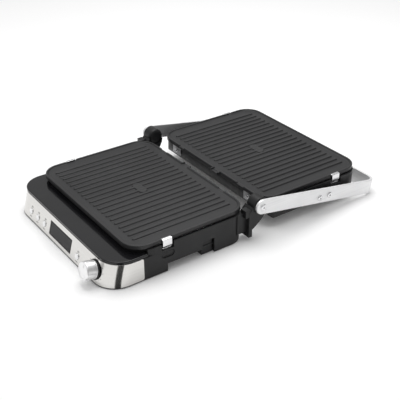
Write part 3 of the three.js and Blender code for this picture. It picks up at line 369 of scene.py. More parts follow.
def moulded_grain_group():
    """Fine pebbled skin of a moulded or sprayed surface, with slow changes of tone."""
    group, start, end = new_group("moulded_grain", [
        ("Vector", "NodeSocketVector", None),
        ("Scale", "NodeSocketFloat", 1800.0),
        ("Tone Scale", "NodeSocketFloat", 14.0),
    ], [("Height", "NodeSocketFloat"), ("Tone", "NodeSocketFloat"), ("Speckle", "NodeSocketFloat")])
    fine = noise_node(group, start.outputs["Vector"], start.outputs["Scale"], 2.0, 0.6)
    coarse_scale = math_node(group, "MULTIPLY", start.outputs["Scale"], 0.28)
    coarse = noise_node(group, start.outputs["Vector"], coarse_scale, 3.0, 0.5)
    height = math_node(group, "ADD", math_node(group, "MULTIPLY", fine, 0.65),
                       math_node(group, "MULTIPLY", coarse, 0.35))
    tone = noise_node(group, start.outputs["Vector"], start.outputs["Tone Scale"], 4.0, 0.55)
    speck = node(group, "ShaderNodeTexVoronoi")
    speck_scale = math_node(group, "MULTIPLY", start.outputs["Scale"], 0.55)
    group.links.new(speck_scale, speck.inputs["Scale"])
    group.links.new(start.outputs["Vector"], speck.inputs["Vector"])
    dots = ramp_node(group, speck.outputs["Distance"], 0.12, 0.02)
    group.links.new(height, end.inputs["Height"])
    group.links.new(tone, end.inputs["Tone"])
    group.links.new(dots, end.inputs["Speckle"])
    return group


def brushed_grain_group():
    """Long fine scratches along one axis, picked by stretching the pattern's coordinates."""
    group, start, end = new_group("brushed_grain", [
        ("Vector", "NodeSocketVector", None),
        ("Stretch", "NodeSocketVector", (10.0, 1600.0, 1600.0)),
    ], [("Height", "NodeSocketFloat"), ("Tone", "NodeSocketFloat"), ("Gloss", "NodeSocketFloat")])
    pulled = node(group, "ShaderNodeVectorMath", operation="MULTIPLY")
    group.links.new(start.outputs["Vector"], pulled.inputs[0])
    group.links.new(start.outputs["Stretch"], pulled.inputs[1])
    lines = noise_node(group, pulled.outputs[0], 1.0, 4.0, 0.65)
    wider = noise_node(group, pulled.outputs[0], 0.22, 2.0, 0.5)
    clouds = noise_node(group, start.outputs["Vector"], 9.0, 3.0, 0.5)
    tone = math_node(group, "ADD", math_node(group, "MULTIPLY", wider, 0.6),
                     math_node(group, "MULTIPLY", clouds, 0.4))
    group.links.new(lines, end.inputs["Height"])
    group.links.new(tone, end.inputs["Tone"])
    group.links.new(wider, end.inputs["Gloss"])
    return group


def handling_group():
    """Smudges and hair-fine scratches that change how glossy a surface is."""
    group, start, end = new_group("handling_marks", [
        ("Vector", "NodeSocketVector", None),
        ("Low", "NodeSocketFloat", 0.1),
        ("High", "NodeSocketFloat", 0.3),
    ], [("Roughness", "NodeSocketFloat")])
    smudge = noise_node(group, start.outputs["Vector"], 26.0, 5.0, 0.6)
    tilted = node(group, "ShaderNodeMapping")
    tilted.inputs["Rotation"].default_value = (0.2, 0.1, 0.7)
    tilted.inputs["Scale"].default_value = (900.0, 24.0, 300.0)
    group.links.new(start.outputs["Vector"], tilted.inputs["Vector"])
    hair = ramp_node(group, noise_node(group, tilted.outputs[0], 1.0, 2.0, 0.5), 0.66, 0.72)
    spread = ramp_node(group, smudge, 0.3, 0.72, start.outputs["Low"], start.outputs["High"])
    rough = math_node(group, "ADD", spread, math_node(group, "MULTIPLY", hair, 0.08), clamp=True)
    group.links.new(rough, end.inputs["Roughness"])
    return group


EDGE_WEAR = edge_wear_group()
MOULDED_GRAIN = moulded_grain_group()
BRUSHED_GRAIN = brushed_grain_group()
HANDLING = handling_group()


def new_finish(name):
    material = bpy.data.materials.new(name)
    material.use_nodes = True
    tree = material.node_tree
    tree.nodes.clear()
    shader = node(tree, "ShaderNodeBsdfPrincipled")
    out = node(tree, "ShaderNodeOutputMaterial")
    tree.links.new(shader.outputs[0], out.inputs["Surface"])
    where = node(tree, "ShaderNodeTexCoord").outputs["Object"]
    return material, tree, shader, where


def use_group(tree, group, where, **values):
    made = node(tree, "ShaderNodeGroup", node_tree=group)
    tree.links.new(where, made.inputs["Vector"])
    for label, value in values.items():
        made.inputs[label.replace("_", " ")].default_value = value
    return made


def mix_colour(tree, amount, first, second):
    made = node(tree, "ShaderNodeMix", data_type="RGBA")
    for label, value in ((6, first), (7, second)):
        if isinstance(value, tuple):
            made.inputs[label].default_value = (*value, 1.0)
        else:
            tree.links.new(value, made.inputs[label])
    tree.links.new(amount, made.inputs[0])
    return made.outputs[2]


def bump(tree, height, depth, normal=None):
    made = node(tree, "ShaderNodeBump")
    made.inputs["Strength"].default_value = 1.0
    made.inputs["Distance"].default_value = depth * MM
    tree.links.new(height, made.inputs["Height"])
    if normal is not None:
        tree.links.new(normal, made.inputs["Normal"])
    return made.outputs["Normal"]


def plastic(name, dark, light, worn, rough, grain, depth, tone_scale=14.0, coat=0.0, shine=0.5):
    """Moulded or coated dark surface with a grain, slow tone changes and lighter rubbed edges."""
    material, tree, shader, where = new_finish(name)
    skin = use_group(tree, MOULDED_GRAIN, where, Scale=grain, Tone_Scale=tone_scale)
    edge = use_group(tree, EDGE_WEAR, where)
    marks = use_group(tree, HANDLING, where, Low=rough[0], High=rough[1])
    base = mix_colour(tree, ramp_node(tree, skin.outputs["Tone"], 0.3, 0.7), dark, light)
    flecked = mix_colour(tree, math_node(tree, "MULTIPLY", skin.outputs["Speckle"], 0.5), base, worn)
    rubbed = mix_colour(tree, edge.outputs["Mask"], flecked, worn)
    tree.links.new(rubbed, shader.inputs["Base Color"])
    tree.links.new(marks.outputs["Roughness"], shader.inputs["Roughness"])
    skin_normal = bump(tree, skin.outputs["Height"], depth, edge.outputs["Normal"])
    tree.links.new(skin_normal, shader.inputs["Normal"])
    shader.inputs["Specular IOR Level"].default_value = shine
    shader.inputs["Coat Weight"].default_value = coat
    shader.inputs["Coat Roughness"].default_value = 0.06
    return material


def metal(name, dark, light, rough, stretch, depth, anisotropy=0.0):
    """Brushed or polished metal with scratches along one direction."""
    material, tree, shader, where = new_finish(name)
    lines = use_group(tree, BRUSHED_GRAIN, where, Stretch=stretch)
    edge = use_group(tree, EDGE_WEAR, where)
    marks = use_group(tree, HANDLING, where, Low=rough[0], High=rough[1])
    base = mix_colour(tree, ramp_node(tree, lines.outputs["Tone"], 0.3, 0.7), dark, light)
    bright = tuple(min(1.0, c * 1.12) for c in light)
    tree.links.new(mix_colour(tree, edge.outputs["Mask"], base, bright), shader.inputs["Base Color"])
    grooves = math_node(tree, "MULTIPLY", lines.outputs["Gloss"], 0.12)
    tree.links.new(math_node(tree, "ADD", marks.outputs["Roughness"], grooves, clamp=True),
                   shader.inputs["Roughness"])
    line_normal = bump(tree, lines.outputs["Height"], depth, edge.outputs["Normal"])
    tree.links.new(line_normal, shader.inputs["Normal"])
    shader.inputs["Metallic"].default_value = 1.0
    shader.inputs["Anisotropic"].default_value = anisotropy
    return material


def circuit_finish():
    """Green board lacquer with copper tracks and a grid of solder points."""
    material, tree, shader, where = new_finish("circuit_lacquer")
    tracks = node(tree, "ShaderNodeTexBrick")
    tracks.inputs["Scale"].default_value = 160.0
    tracks.inputs["Mortar Size"].default_value = 0.03
    tracks.inputs["Color1"].default_value = (0.012, 0.09, 0.045, 1)
    tracks.inputs["Color2"].default_value = (0.016, 0.11, 0.05, 1)
    tracks.inputs["Mortar"].default_value = (0.08, 0.22, 0.09, 1)
    tree.links.new(where, tracks.inputs["Vector"])
    skin = use_group(tree, MOULDED_GRAIN, where, Scale=900.0)
    solder = mix_colour(tree, skin.outputs["Speckle"], tracks.outputs["Color"], (0.6, 0.58, 0.52))
    tree.links.new(solder, shader.inputs["Base Color"])
    marks = use_group(tree, HANDLING, where, Low=0.25, High=0.5)
    tree.links.new(marks.outputs["Roughness"], shader.inputs["Roughness"])
    tree.links.new(bump(tree, tracks.outputs["Fac"], 0.05), shader.inputs["Normal"])
    return material


FINISHES = {
    "cast_coating": plastic("cast_coating", (0.016, 0.016, 0.017), (0.024, 0.024, 0.025),
                            (0.060, 0.060, 0.060), (0.36, 0.46), 1500.0, 0.05, 9.0, shine=0.36),
    "matt_black": plastic("matt_black", (0.007, 0.007, 0.0075), (0.012, 0.012, 0.0125),
                          (0.035, 0.035, 0.036), (0.36, 0.50), 2600.0, 0.03, 18.0, shine=0.32),
    "gloss_black": plastic("gloss_black", (0.006, 0.006, 0.007), (0.010, 0.010, 0.011),
                           (0.03, 0.03, 0.03), (0.08, 0.17), 600.0, 0.004, 12.0, coat=0.08, shine=0.36),
    "rubber": plastic("rubber", (0.011, 0.011, 0.011), (0.022, 0.022, 0.022),
                      (0.05, 0.05, 0.05), (0.70, 0.88), 1900.0, 0.06),
    "ink": plastic("ink", (0.016, 0.016, 0.018), (0.030, 0.030, 0.032),
                   (0.06, 0.06, 0.06), (0.45, 0.6), 2400.0, 0.005),
    "lens": plastic("lens", (0.002, 0.002, 0.002), (0.003, 0.003, 0.003),
                    (0.01, 0.01, 0.01), (0.12, 0.18), 400.0, 0.001, 7.0, shine=0.12),
    "screen": plastic("screen", (0.020, 0.020, 0.021), (0.027, 0.027, 0.028),
                      (0.03, 0.03, 0.03), (0.30, 0.40), 900.0, 0.002, 10.0, shine=0.18),
    "brushed_steel": metal("brushed_steel", (0.66, 0.65, 0.63), (0.71, 0.70, 0.68),
                           (0.05, 0.09), (10.0, 10.0, 2600.0), 0.0015, 0.3),
    "brushed_aluminium": metal("brushed_aluminium", (0.80, 0.80, 0.81), (0.88, 0.88, 0.88),
                               (0.50, 0.60), (40.0, 10.0, 2200.0), 0.003, 0.3),
    "turned_aluminium": metal("turned_aluminium", (0.80, 0.80, 0.81), (0.90, 0.90, 0.90),
                              (0.26, 0.36), (60.0, 2200.0, 60.0), 0.003),
    "chrome": metal("chrome", (0.72, 0.72, 0.73), (0.80, 0.80, 0.81),
                    (0.08, 0.16), (300.0, 300.0, 900.0), 0.002),
    "zinc": metal("zinc", (0.46, 0.46, 0.47), (0.56, 0.56, 0.57),
                  (0.30, 0.42), (500.0, 700.0, 500.0), 0.006),
    "circuit": circuit_finish(),
}


# ---------------------------------------------------------------- cooking plates
def dip(bm, x_range, y_range, floor):
    """Lowers the part of a rim inside the given plan range to the floor height, with short slopes."""
    slope = 1.2
    for axis, (low, high) in ((0, x_range), (1, y_range)):
        for place in (low, low + slope, high - slope, high):
            at = [0.0, 0.0, 0.0]
            way = [0.0, 0.0, 0.0]
            at[axis] = place
            way[axis] = 1.0
            near = [f for f in bm.faces
                    if min(v.co[axis] for v in f.verts) < place < max(v.co[axis] for v in f.verts)
                    and any(v.co.z > floor for v in f.verts)]
            geom = list({v for f in near for v in f.verts} | {e for f in near for e in f.edges}) + near
            if geom:
                bmesh.ops.bisect_plane(bm, geom=geom, dist=0.001, plane_co=at, plane_no=way)
    inner_x = (x_range[0] + slope * 0.5, x_range[1] - slope * 0.5)
    inner_y = (y_range[0] + slope * 0.5, y_range[1] - slope * 0.5)
    for v in bm.verts:
        inside = inner_x[0] < v.co.x < inner_x[1] and inner_y[0] < v.co.y < inner_y[1]
        if inside and v.co.z > floor:
            v.co.z = floor


def plate_tray():
    bm = bmesh.new()
    half_x, half_y = PLATE_HALF, PLATE_DEPTH / 2
    face = rounded_face(bm, (-half_x, -half_y), (half_x, half_y), [PLATE_CORNER] * 4, SKIRT_FOOT)
    climb(bm, face, [
        (0, 5.5), (0.10, 0.40), (0.26, 0.34), (0.50, 0.20), (0.30, 0.06),
        (1.20, 0), (0.30, -0.06), (0.40, -0.24), (0.36, -0.50), (0.40, -0.80), (0.60, -0.55),
        (1.40, -0.30), (2.60, -0.05),
    ])
    lip = [e for e in bm.edges if e.is_boundary]
    bottom = bmesh.ops.holes_fill(bm, edges=lip, sides=0)["faces"][0]
    climb(bm, bottom, [(2.4, 0), (0.4, 2.0), (1.0, 0.4)])
    for notch in REAR_NOTCHES:
        dip(bm, notch, (half_y - 5.0, half_y + 1), RIM_TOP - 2.0)
    dip(bm, SPOUT_NOTCH, (half_y - 5.5, half_y + 1), RIM_TOP - PLATE_FLOOR_DROP)
    seat_y = CLIP_Y - PLATE_MID_Y
    for side in (-1, 1):
        inner, outer = sorted((side * (half_x - 4.6), side * (half_x + 1)))
        dip(bm, (inner, outer), (seat_y - 10.5, seat_y + 10.5), RIM_TOP - 2.2)
    bmesh.ops.recalc_face_normals(bm, faces=bm.faces)
    return bm


def rib(x):
    """One raised rib with a filleted foot, rounded shoulders and rounded ends."""
    bm = bmesh.new()
    foot = RIB_FOOT / 2
    half = RIB_LENGTH / 2 + 1.2
    face = rounded_face(bm, (x - foot, -half), (x + foot, half), [foot - 0.4] * 4,
                        RIM_TOP - PLATE_FLOOR_DROP - 0.15, 5)
    climb(bm, face, [(0.75, 0.25), (0.50, 0.55), (0.22, 0.75), (0.20, 0.45), (0.35, 0.28), (0.60, 0.12)])
    seal(bm)
    return bm


def centre_patch():
    bm = bmesh.new()
    face = rounded_face(bm, (-17, -8), (17, 8), [7.4] * 4, RIM_TOP - PLATE_FLOOR_DROP - 0.1, 8)
    climb(bm, face, [(0.5, 0.5), (0.3, 0.9), (0.2, 0.45), (0.5, 0.3), (0.8, 0.05)])
    seal(bm)
    return bm


def pouring_spout():
    """Short channel that drains the plate over its rear edge."""
    half_y = PLATE_DEPTH / 2
    bm = rounded_slab((-33, half_y - 2), (-11, half_y + 5), [0.8, 0.8, 3, 3],
                      SKIRT_FOOT + 0.4, RIM_TOP - 0.9, 0.5, 5)
    trough = rounded_slab((-30.5, half_y - 6), (-13.5, half_y + 8), [0.2] * 4,
                          RIM_TOP - 3.1, RIM_TOP + 2, 0.15, 2)
    carve(bm, trough)
    bmesh.ops.recalc_face_normals(bm, faces=bm.faces)
    return bm


def grill_plate(name, body, middle_y, half_turn):
    tray = plate_tray()
    ribs = [rib((i - (RIB_COUNT - 1) / 2) * RIB_PITCH) for i in range(RIB_COUNT)]
    join_into(tray, *ribs, centre_patch(), pouring_spout())
    moved(tray, shift(0, middle_y, 0) @ turn("Z", 180.0 if half_turn else 0.0))
    piece(tray, f"{name}_cast", body, "cast_coating", (name,), 40.0)


grill_plate("grill_plate_lower", "base", PLATE_MID_Y, False)
grill_plate("grill_plate_upper", "lid", LID_MID_Y, True)


# ---------------------------------------------------------------- control block
def face_hole(x, along, radius):
    bm = turned([(0, -6), (radius, -6), (radius, 8), (0, 8)], 40)
    return set_on_face(bm, x, along)


def display_hole():
    width, height = (DISPLAY_SIZE[0] + 0.6) / 2, (DISPLAY_SIZE[1] + 0.6) / 2
    bm = rounded_slab((-width, -height), (width, height), [1.4] * 4, -8, 6, 0.05, 4)
    return set_on_face(bm, DISPLAY_X, DISPLAY_ALONG)


def face_place(name):
    """Where a piece sits on the control face: across it, and up it from its middle line."""
    middle = node_middle(name)
    rise = (middle.z - FACE_MIDDLE_Z) * math.cos(FACE_ANGLE)
    back = (middle.y - FACE_MIDDLE_Y) * math.sin(FACE_ANGLE)
    return middle.x, rise + back


DISPLAY_X, DISPLAY_ALONG = face_place("display_lens")
KNOB_X = face_place("knob")[0]


def leaned(bm):
    """Sets a mesh back with height as the control block's front is."""
    for v in bm.verts:
        share = min(1.0, max(0.0, (band_high.y - v.co.y) / LEAN_BLEND))
        v.co.y += share * FACE_LEAN * (v.co.z - band_low.z)
    return bm


def wrap_sheet(low, high, corner, front, z0, z1, end_radius, thickness):
    """A strip bent round two corners: a rounded outline without one side, drawn up, ends rounded."""
    bm = bmesh.new()
    radii = [corner, corner, 0, 0] if front else [0, 0, corner, corner]
    rounded_face(bm, low, high, radii, z0)
    bmesh.ops.delete(bm, geom=list(bm.faces), context="FACES_ONLY")
    open_y = high[1] if front else low[1]
    back = [e for e in bm.edges if all(abs(v.co.y - open_y) < 0.01 for v in e.verts)]
    bmesh.ops.delete(bm, geom=back, context="EDGES")
    raised = bmesh.ops.extrude_edge_only(bm, edges=list(bm.edges))["geom"]
    top = [v for v in raised if isinstance(v, bmesh.types.BMVert)]
    bmesh.ops.translate(bm, vec=(0, 0, z1 - z0), verts=top)
    ends = [v for v in bm.verts if abs(v.co.y - open_y) < 0.01]
    bmesh.ops.bevel(bm, geom=ends, offset=end_radius, offset_type="OFFSET", segments=8, profile=0.5,
                    affect="VERTICES", material=-1, clamp_overlap=False)
    bmesh.ops.remove_doubles(bm, verts=bm.verts, dist=0.001)
    bmesh.ops.recalc_face_normals(bm, faces=bm.faces)
    probe = max(bm.faces, key=lambda f: f.calc_center_median().x)
    if probe.normal.x < 0:
        bmesh.ops.reverse_faces(bm, faces=bm.faces)
    bmesh.ops.solidify(bm, geom=bm.faces, thickness=thickness)
    bmesh.ops.recalc_face_normals(bm, faces=bm.faces)
    return bm


def steel_band():
    bm = wrap_sheet((-WALL_X, band_low.y), (WALL_X, band_high.y), BAND_CORNER, True,
                    band_low.z, band_high.z, 3.0, BAND_THICKNESS)
    leaned(bm)
    holes = [display_hole(), face_hole(KNOB_X, 0, 4.2)]
    for name in BUTTONS:
        x, along = face_place(name)
        holes.append(face_hole(x, along, 5.3))
    carve(bm, *holes)
    round_edges(bm, 0.22, 40.0, 2)
    piece(bm, "steel_band_wrap", "base", "brushed_steel", ("steel_band",), 25.0)


def control_deck():
    low, high = node_box("control_deck")
    bm = rounded_slab((low.x, low.y), (high.x, high.y), [DECK_CORNER, DECK_CORNER, 1.8, 1.8],
                      low.z, high.z, 1.5)
    well = rounded_slab((-WELL_HALF_WIDTH, PLATE_MID_Y - WELL_REACH), (WELL_HALF_WIDTH, PLATE_MID_Y),
                        [WELL_CORNER, WELL_CORNER, 1, 1], 30, 60, 0.1)
    carve(bm, well)
    piece(bm, "control_deck_gloss", "base", "gloss_black", ("control_deck",), 40.0)


def display():
    width, height = DISPLAY_SIZE[0] / 2, DISPLAY_SIZE[1] / 2
    lens = rounded_slab((-width, -height), (width, height), [1.2] * 4, -2.3, 0.1, 0.25, 5)
    set_on_face(lens, DISPLAY_X, DISPLAY_ALONG)
    piece(lens, "display_window", "base", "lens", ("display_lens",), 30.0)
    screen = rounded_slab((-width + 4.5, -height + 2.2), (width - 1.2, height - 1.2), [0.8] * 4,
                          -0.02, 0.16, 0.05, 4)
    set_on_face(screen, DISPLAY_X, DISPLAY_ALONG)
    piece(screen, "display_screen", "base", "screen")


def control_knob():
    radius, length = KNOB_RADIUS, KNOB_LENGTH
    bm = turned([
        (0, 13.6), (3.3, 13.6), (3.3, 2.3), (radius - 1.0, 2.3), (radius - 0.5, 2.35),
        (radius - 0.1, 2.6), (radius, 3.0), (radius - 0.02, 3.8), (radius - 0.3, 4.0),
        (radius - 0.3, 4.5), (radius - 0.04, 4.7),
        (radius - 0.55, length - 1.9), (radius - 0.75, length - 1.1), (radius - 1.15, length - 0.45),
        (radius - 1.75, length - 0.1), (radius - 2.4, length), (radius - 2.8, length - 0.08),
        (radius - 3.2, length - 0.5), (radius - 3.8, length - 0.62), (0, length - 0.55),
    ], 72)
    pointer = rounded_slab((-0.6, 3.8), (0.6, 10.2), [0.5] * 4, length - 1.3, length + 2, 0.05, 4)
    carve(bm, pointer)
    set_on_face(bm, KNOB_X)
    piece(bm, "knob_turned", "knob", "turned_aluminium", ("knob",), 30.0)
    ring = turned([
        (4.0, 0.3), (15.2, 0.3), (15.7, 0.6), (15.7, 1.3), (15.2, 1.8), (4.0, 1.8), (4.0, 0.3),
    ], 64)
    set_on_face(ring, KNOB_X)
    piece(ring, "knob_seat_ring", "base", "gloss_black", ("knob_collar",), 30.0)


def push_button(name):
    x, along = face_place(name)
    bm = turned([
        (0, -4.6), (6.0, -4.6), (6.0, -3.4), (5.0, -3.4), (5.0, 0.7), (4.9, 1.05), (4.65, 1.35), (4.25, 1.55),
        (3.8, 1.62), (3.3, 1.5), (2.2, 1.38), (0, 1.33),
    ], 40)
    set_on_face(bm, x, along)
    piece(bm, f"{name}_cap", name, "turned_aluminium", (name,), 40.0)


def face_mark(x, along, width, height):
    radii = [min(width, height) * 0.35] * 4
    bm = rounded_slab((-width / 2, -height / 2), (width / 2, height / 2), radii, -0.05, 0.06, 0.02, 3)
    return set_on_face(bm, x, along)


def dial_mark(index):
    """A tick of the ring round the knob, or a bar above it where the ring would leave the band."""
    angle = math.radians(-120 + 30 * index)
    along = DIAL_RADIUS * math.cos(angle)
    if abs(along) < DIAL_TOP:
        return face_mark(KNOB_X + DIAL_RADIUS * math.sin(angle), along, 1.3, 1.3)
    return face_mark(KNOB_X + 4.2 * (index - DIAL_MARKS // 2), 16.6, 2.4, 0.9)


def face_marks():
    """Plain printed ticks and bars beside the controls."""
    bm = bmesh.new()
    marks = []
    for name in BUTTONS:
        x, along = face_place(name)
        marks.append(face_mark(x, along - 8.6, 7.0, 0.9))
        marks.append(face_mark(x, along + 8.4, 1.5, 2.6))
        marks.append(face_mark(x + 2.6, along + 8.4, 1.5, 2.6))
    marks.extend(dial_mark(index) for index in range(DIAL_MARKS))
    join_into(bm, *marks)
    piece(bm, "face_marks", "base", "ink")


steel_band()
control_deck()
display()
control_knob()
face_marks()
for button in BUTTONS:
    push_button(button)


# ---------------------------------------------------------------- clips and release buttons
def spring_clip(name):
    """Bent strap that hooks over the plate rim, with a rolled eye round its pin and a lever below."""
    low, high = node_box(name)
    side = 1.0 if high.x > 0 else -1.0
    middle_y = (low.y + high.y) / 2
    pivot_x, pivot_z = PLATE_HALF - 1.5, RIM_TOP - 17.0
    outer = PLATE_HALF + 2.0
    path = [
        (pivot_x + 0.4, pivot_z + 1.0), (outer - 0.6, pivot_z + 4.2), (outer, pivot_z + 6.5),
        (outer, RIM_TOP - 2.4), (outer - 0.35, RIM_TOP - 1.35), (outer - 1.3, RIM_TOP - 0.95),
        (PLATE_HALF - 1.6, RIM_TOP - 0.95), (PLATE_HALF - 2.2, RIM_TOP - 1.05),
    ]
    bm = bmesh.new()
    half = CLIP_HALF_WIDTH
    verts = [bm.verts.new((x, -half, z)) for x, z in path]
    edges = [bm.edges.new(pair) for pair in zip(verts, verts[1:])]
    drawn = bmesh.ops.extrude_edge_only(bm, edges=edges)["geom"]
    far_side = [v for v in drawn if isinstance(v, bmesh.types.BMVert)]
    bmesh.ops.translate(bm, vec=(0, 2 * half, 0), verts=far_side)
    ends = [v for v in bm.verts if abs(v.co.x - path[-1][0]) < 0.01]
    bmesh.ops.bevel(bm, geom=ends, offset=0.55, offset_type="OFFSET", segments=3, profile=0.5,
                    affect="VERTICES", material=-1, clamp_overlap=False)
    bmesh.ops.recalc_face_normals(bm, faces=bm.faces)
    bmesh.ops.solidify(bm, geom=bm.faces, thickness=-1.1)
    bmesh.ops.recalc_face_normals(bm, faces=bm.faces)
    round_edges(bm, 0.18, 50.0, 2)
    eye = turned([
        (1.35, -half), (2.1, -half), (2.3, 0.2 - half), (2.3, half - 0.2), (2.1, half), (1.35, half),
        (1.35, -half),
    ], 28)
    moved(eye, shift(pivot_x, 0, pivot_z) @ turn("X", 90))
    lever = rounded_slab((-1.2, -4), (0.0, 4), [0.3] * 4, -10, -1.6, 0.25, 3)
    moved(lever, shift(pivot_x, 0, pivot_z))
    join_into(bm, eye, lever)
    moved(bm, shift(0, middle_y, 0) @ mirrored(side))
    piece(bm, f"{name}_spring", name, "chrome", (name,), 40.0)


def release_button(name):
    low, high = node_box(name)
    side = 1.0 if high.x > 0 else -1.0
    middle_y = (low.y + high.y) / 2
    middle_z = (low.z + high.z) / 2
    bm = bmesh.new()
    face = rounded_face(bm, (-11, -5.3), (11, 5.3), [5.0] * 4, -3.8, 8)
    climb(bm, face, [
        (0, 2.2), (0.12, 0.35), (0.3, 0.28), (0.5, 0.17), (0.5, 0), (0.5, -0.35), (0.8, -0.35),
        (1.2, -0.2),
    ])
    seal(bm)
    moved(bm, turn("Y", 90) @ turn("Z", 90))
    nub = moved(turned([(0, -8), (1, -8), (1, -3.6), (0, -3.6)], 16), turn("Y", 90))
    join_into(bm, nub)
    nub_end = -abs(high.x - low.x) - 0.8
    for v in bm.verts:
        if v.co.x < -7:
            v.co.x = nub_end
    moved(bm, shift(0, middle_y, middle_z) @ mirrored(side) @ shift(WALL_X, 0, 0))
    piece(bm, f"{name}_cap", name, "matt_black", (name,), 40.0)


for level in ("lower", "upper"):
    for side_name in SIDES:
        spring_clip(f"plate_clip_{level}_{side_name}")
        release_button(f"release_button_{level}_{side_name}")


# ---------------------------------------------------------------- hinge and handle
def arm_pitch():
    """Downward slope of the arms that sets the bar just above the table."""
    half = ARM_HEIGHT / 2
    pitch = 0.18
    for _ in range(40):
        down = HINGE.z - handle_low.z - half * math.cos(pitch)
        pitch = math.atan2(down, handle_high.y - HINGE.y - half * math.sin(pitch))
    return pitch


ARM_PITCH = arm_pitch()


def lid_handle():
    half = ARM_HEIGHT / 2
    reach = (handle_high.y - HINGE.y - half * math.sin(ARM_PITCH)) / math.cos(ARM_PITCH)
    bm = wrap_sheet((handle_low.x, -half), (handle_high.x, reach), HANDLE_CORNER, False, -half, half,
                    half - 0.05, ARM_THICKNESS)
    round_edges(bm, 0.7, 40.0, 3)
    moved(bm, shift(0, HINGE.y, HINGE.z) @ Matrix.Rotation(-ARM_PITCH, 4, "X"))
    piece(bm, "lid_handle_bar", "handle", "brushed_aluminium", ("lid_handle",), 30.0)


def cross_slots(half_length, half_width, low, high, first_angle):
    """The two crossed cutters of a screw's socket."""
    return [moved(rounded_slab((-half_length, -half_width), (half_length, half_width), [0.2] * 4,
                               low, high, 0.05, 3), turn("Z", angle))
            for angle in (first_angle, first_angle + 90)]


def head_screw(name, head, shank):
    """Domed screw with a socket, standing out along X from an arm."""
    low, high = node_box(name)
    side = 1.0 if high.x > 0 else -1.0
    outer = max(abs(low.x), abs(high.x))
    inner = min(abs(low.x), abs(high.x))
    seat = outer - 2.0
    bm = turned([
        (0, inner), (shank, inner), (shank, seat), (head - 0.1, seat), (head, seat + 0.12),
        (head, seat + 0.7), (head - 0.15, seat + 1.05), (head - 0.6, seat + 1.45),
        (head - 1.4, seat + 1.78), (head - 2.4, seat + 1.95), (0, seat + 2.0),
    ], 40)
    carve(bm, *cross_slots(2.1, 0.5, outer - 1.3, outer + 2, 35))
    middle = (low + high) / 2
    moved(bm, mirrored(side) @ shift(0, middle.y, middle.z) @ turn("Y", 90))
    piece(bm, f"{name}_head", BODY_OF[name], "chrome", (name,), 32.0)


def hinge_drum(name, side):
    low, high = node_box(name)
    inner, outer = sorted((abs(low.x), abs(high.x)))
    length = outer - inner
    radius = (high.z - low.z) / 2
    bm = turned([
        (0, 0), (8.4, 0), (9.2, 0.15), (11.8, 1.0), (12.8, 1.9), (13.5, 3.0), (radius - 0.1, 4.3),
        (radius, 5.2), (radius, 20.6), (radius - 0.25, 21.3), (radius - 0.9, length - 0.1),
        (radius - 1.3, length), (4.35, length), (4.35, 3.2), (0, 3.2),
    ], 56)
    middle = (low + high) / 2
    moved(bm, mirrored(side) @ shift(inner, middle.y, middle.z) @ turn("Y", 90))
    piece(bm, f"{name}_cap", BODY_OF[name], "matt_black", (name,), 32.0)


lid_handle()
for side_name, side_sign in SIDES.items():
    hinge_drum(f"hinge_drum_{side_name}", side_sign)
    head_screw(f"hinge_screw_{side_name}", 5.4, 4.0)
    head_screw(f"lid_pivot_screw_{side_name}", 4.8, 3.2)
    head_screw(f"lid_stop_pin_{side_name}", 4.8, 2.5)


def bracket_screw(name):
    low, high = node_box(name)
    bm = turned([
        (0, 2.2), (1.4, 2.12), (2.6, 1.85), (3.2, 1.45), (3.55, 0.9), (3.6, 0.1), (3.5, 0), (1.5, 0),
        (1.5, -5.4), (0, -5.5),
    ], 32)
    carve(bm, *cross_slots(1.8, 0.4, 1.1, 3, 20))
    middle = (low + high) / 2
    moved(bm, shift(middle.x, low.y + 2.2, middle.z) @ turn("X", 90))
    piece(bm, f"{name}_head", BODY_OF[name], "chrome", (name,), 32.0)


def foot(name, top_radius, base_radius):
    low, high = node_box(name)
    height = high.z - low.z
    bm = turned([
        (0, 0), (base_radius - 2.4, 0), (base_radius - 2.2, 0.25), (base_radius - 1.6, 0.25),
        (base_radius - 1.4, 0), (base_radius - 0.25, 0), (base_radius, 0.2),
        (top_radius, height - 0.15), (top_radius - 0.2, height), (0, height),
    ], 40)
    middle = (low + high) / 2
    moved(bm, shift(middle.x, middle.y, low.z))
    piece(bm, f"{name}_pad", "base", "rubber", (name,), 32.0)


def cord_gland():
    low, high = node_box("cord_gland")
    length = high.y - low.y
    bm = turned([
        (0, 0), (8.6, 0), (8.6, 2.8), (6.0, 2.8), (6.0, 6.8), (8.6, 6.8), (8.8, 7.1), (8.8, 8.6),
        (8.5, 9.4), (7.9, 10.4), (7.2, length - 0.2), (6.8, length), (4.3, length),
        (3.8, length - 0.5), (3.8, 8.4), (0, 8.4),
    ], 40)
    middle = (low + high) / 2
    moved(bm, shift(middle.x, low.y, middle.z) @ turn("X", -90))
    piece(bm, "cord_gland_bush", "base", "rubber", ("cord_gland",), 32.0)


def lid_top_panel():
    low, high = node_box("lid_top_panel")
    bm = bmesh.new()
    face = rounded_face(bm, (low.x, low.y), (high.x, high.y), [12] * 4, high.z, 10)
    depth = high.z - low.z
    climb(bm, face, [
        (0, -depth + 0.5), (0.1, -0.25), (0.3, -0.2), (0.5, -0.05), (3.0, 0), (0.5, 0.1), (0.4, 0.25),
        (1.0, 0.05),
    ])
    seal(bm)
    piece(bm, "lid_top_panel_sheet", "lid", "brushed_steel", ("lid_top_panel",), 35.0)


for side_name in SIDES:
    bracket_screw(f"bracket_screw_{side_name}")
    foot(f"front_foot_{side_name}", 9.0, 8.0)
    foot(f"rear_foot_{side_name}", 8.5, 7.5)
cord_gland()
lid_top_panel()


# ---------------------------------------------------------------- housings with rounded edges
def softened(name, finish, width, angle=24.0):
    bm = copy_of(name)
    round_edges(bm, width, angle, 2)
    bmesh.ops.recalc_face_normals(bm, faces=bm.faces)
    piece(bm, f"{name}_shell", BODY_OF[name], finish, (name,), 34.0)


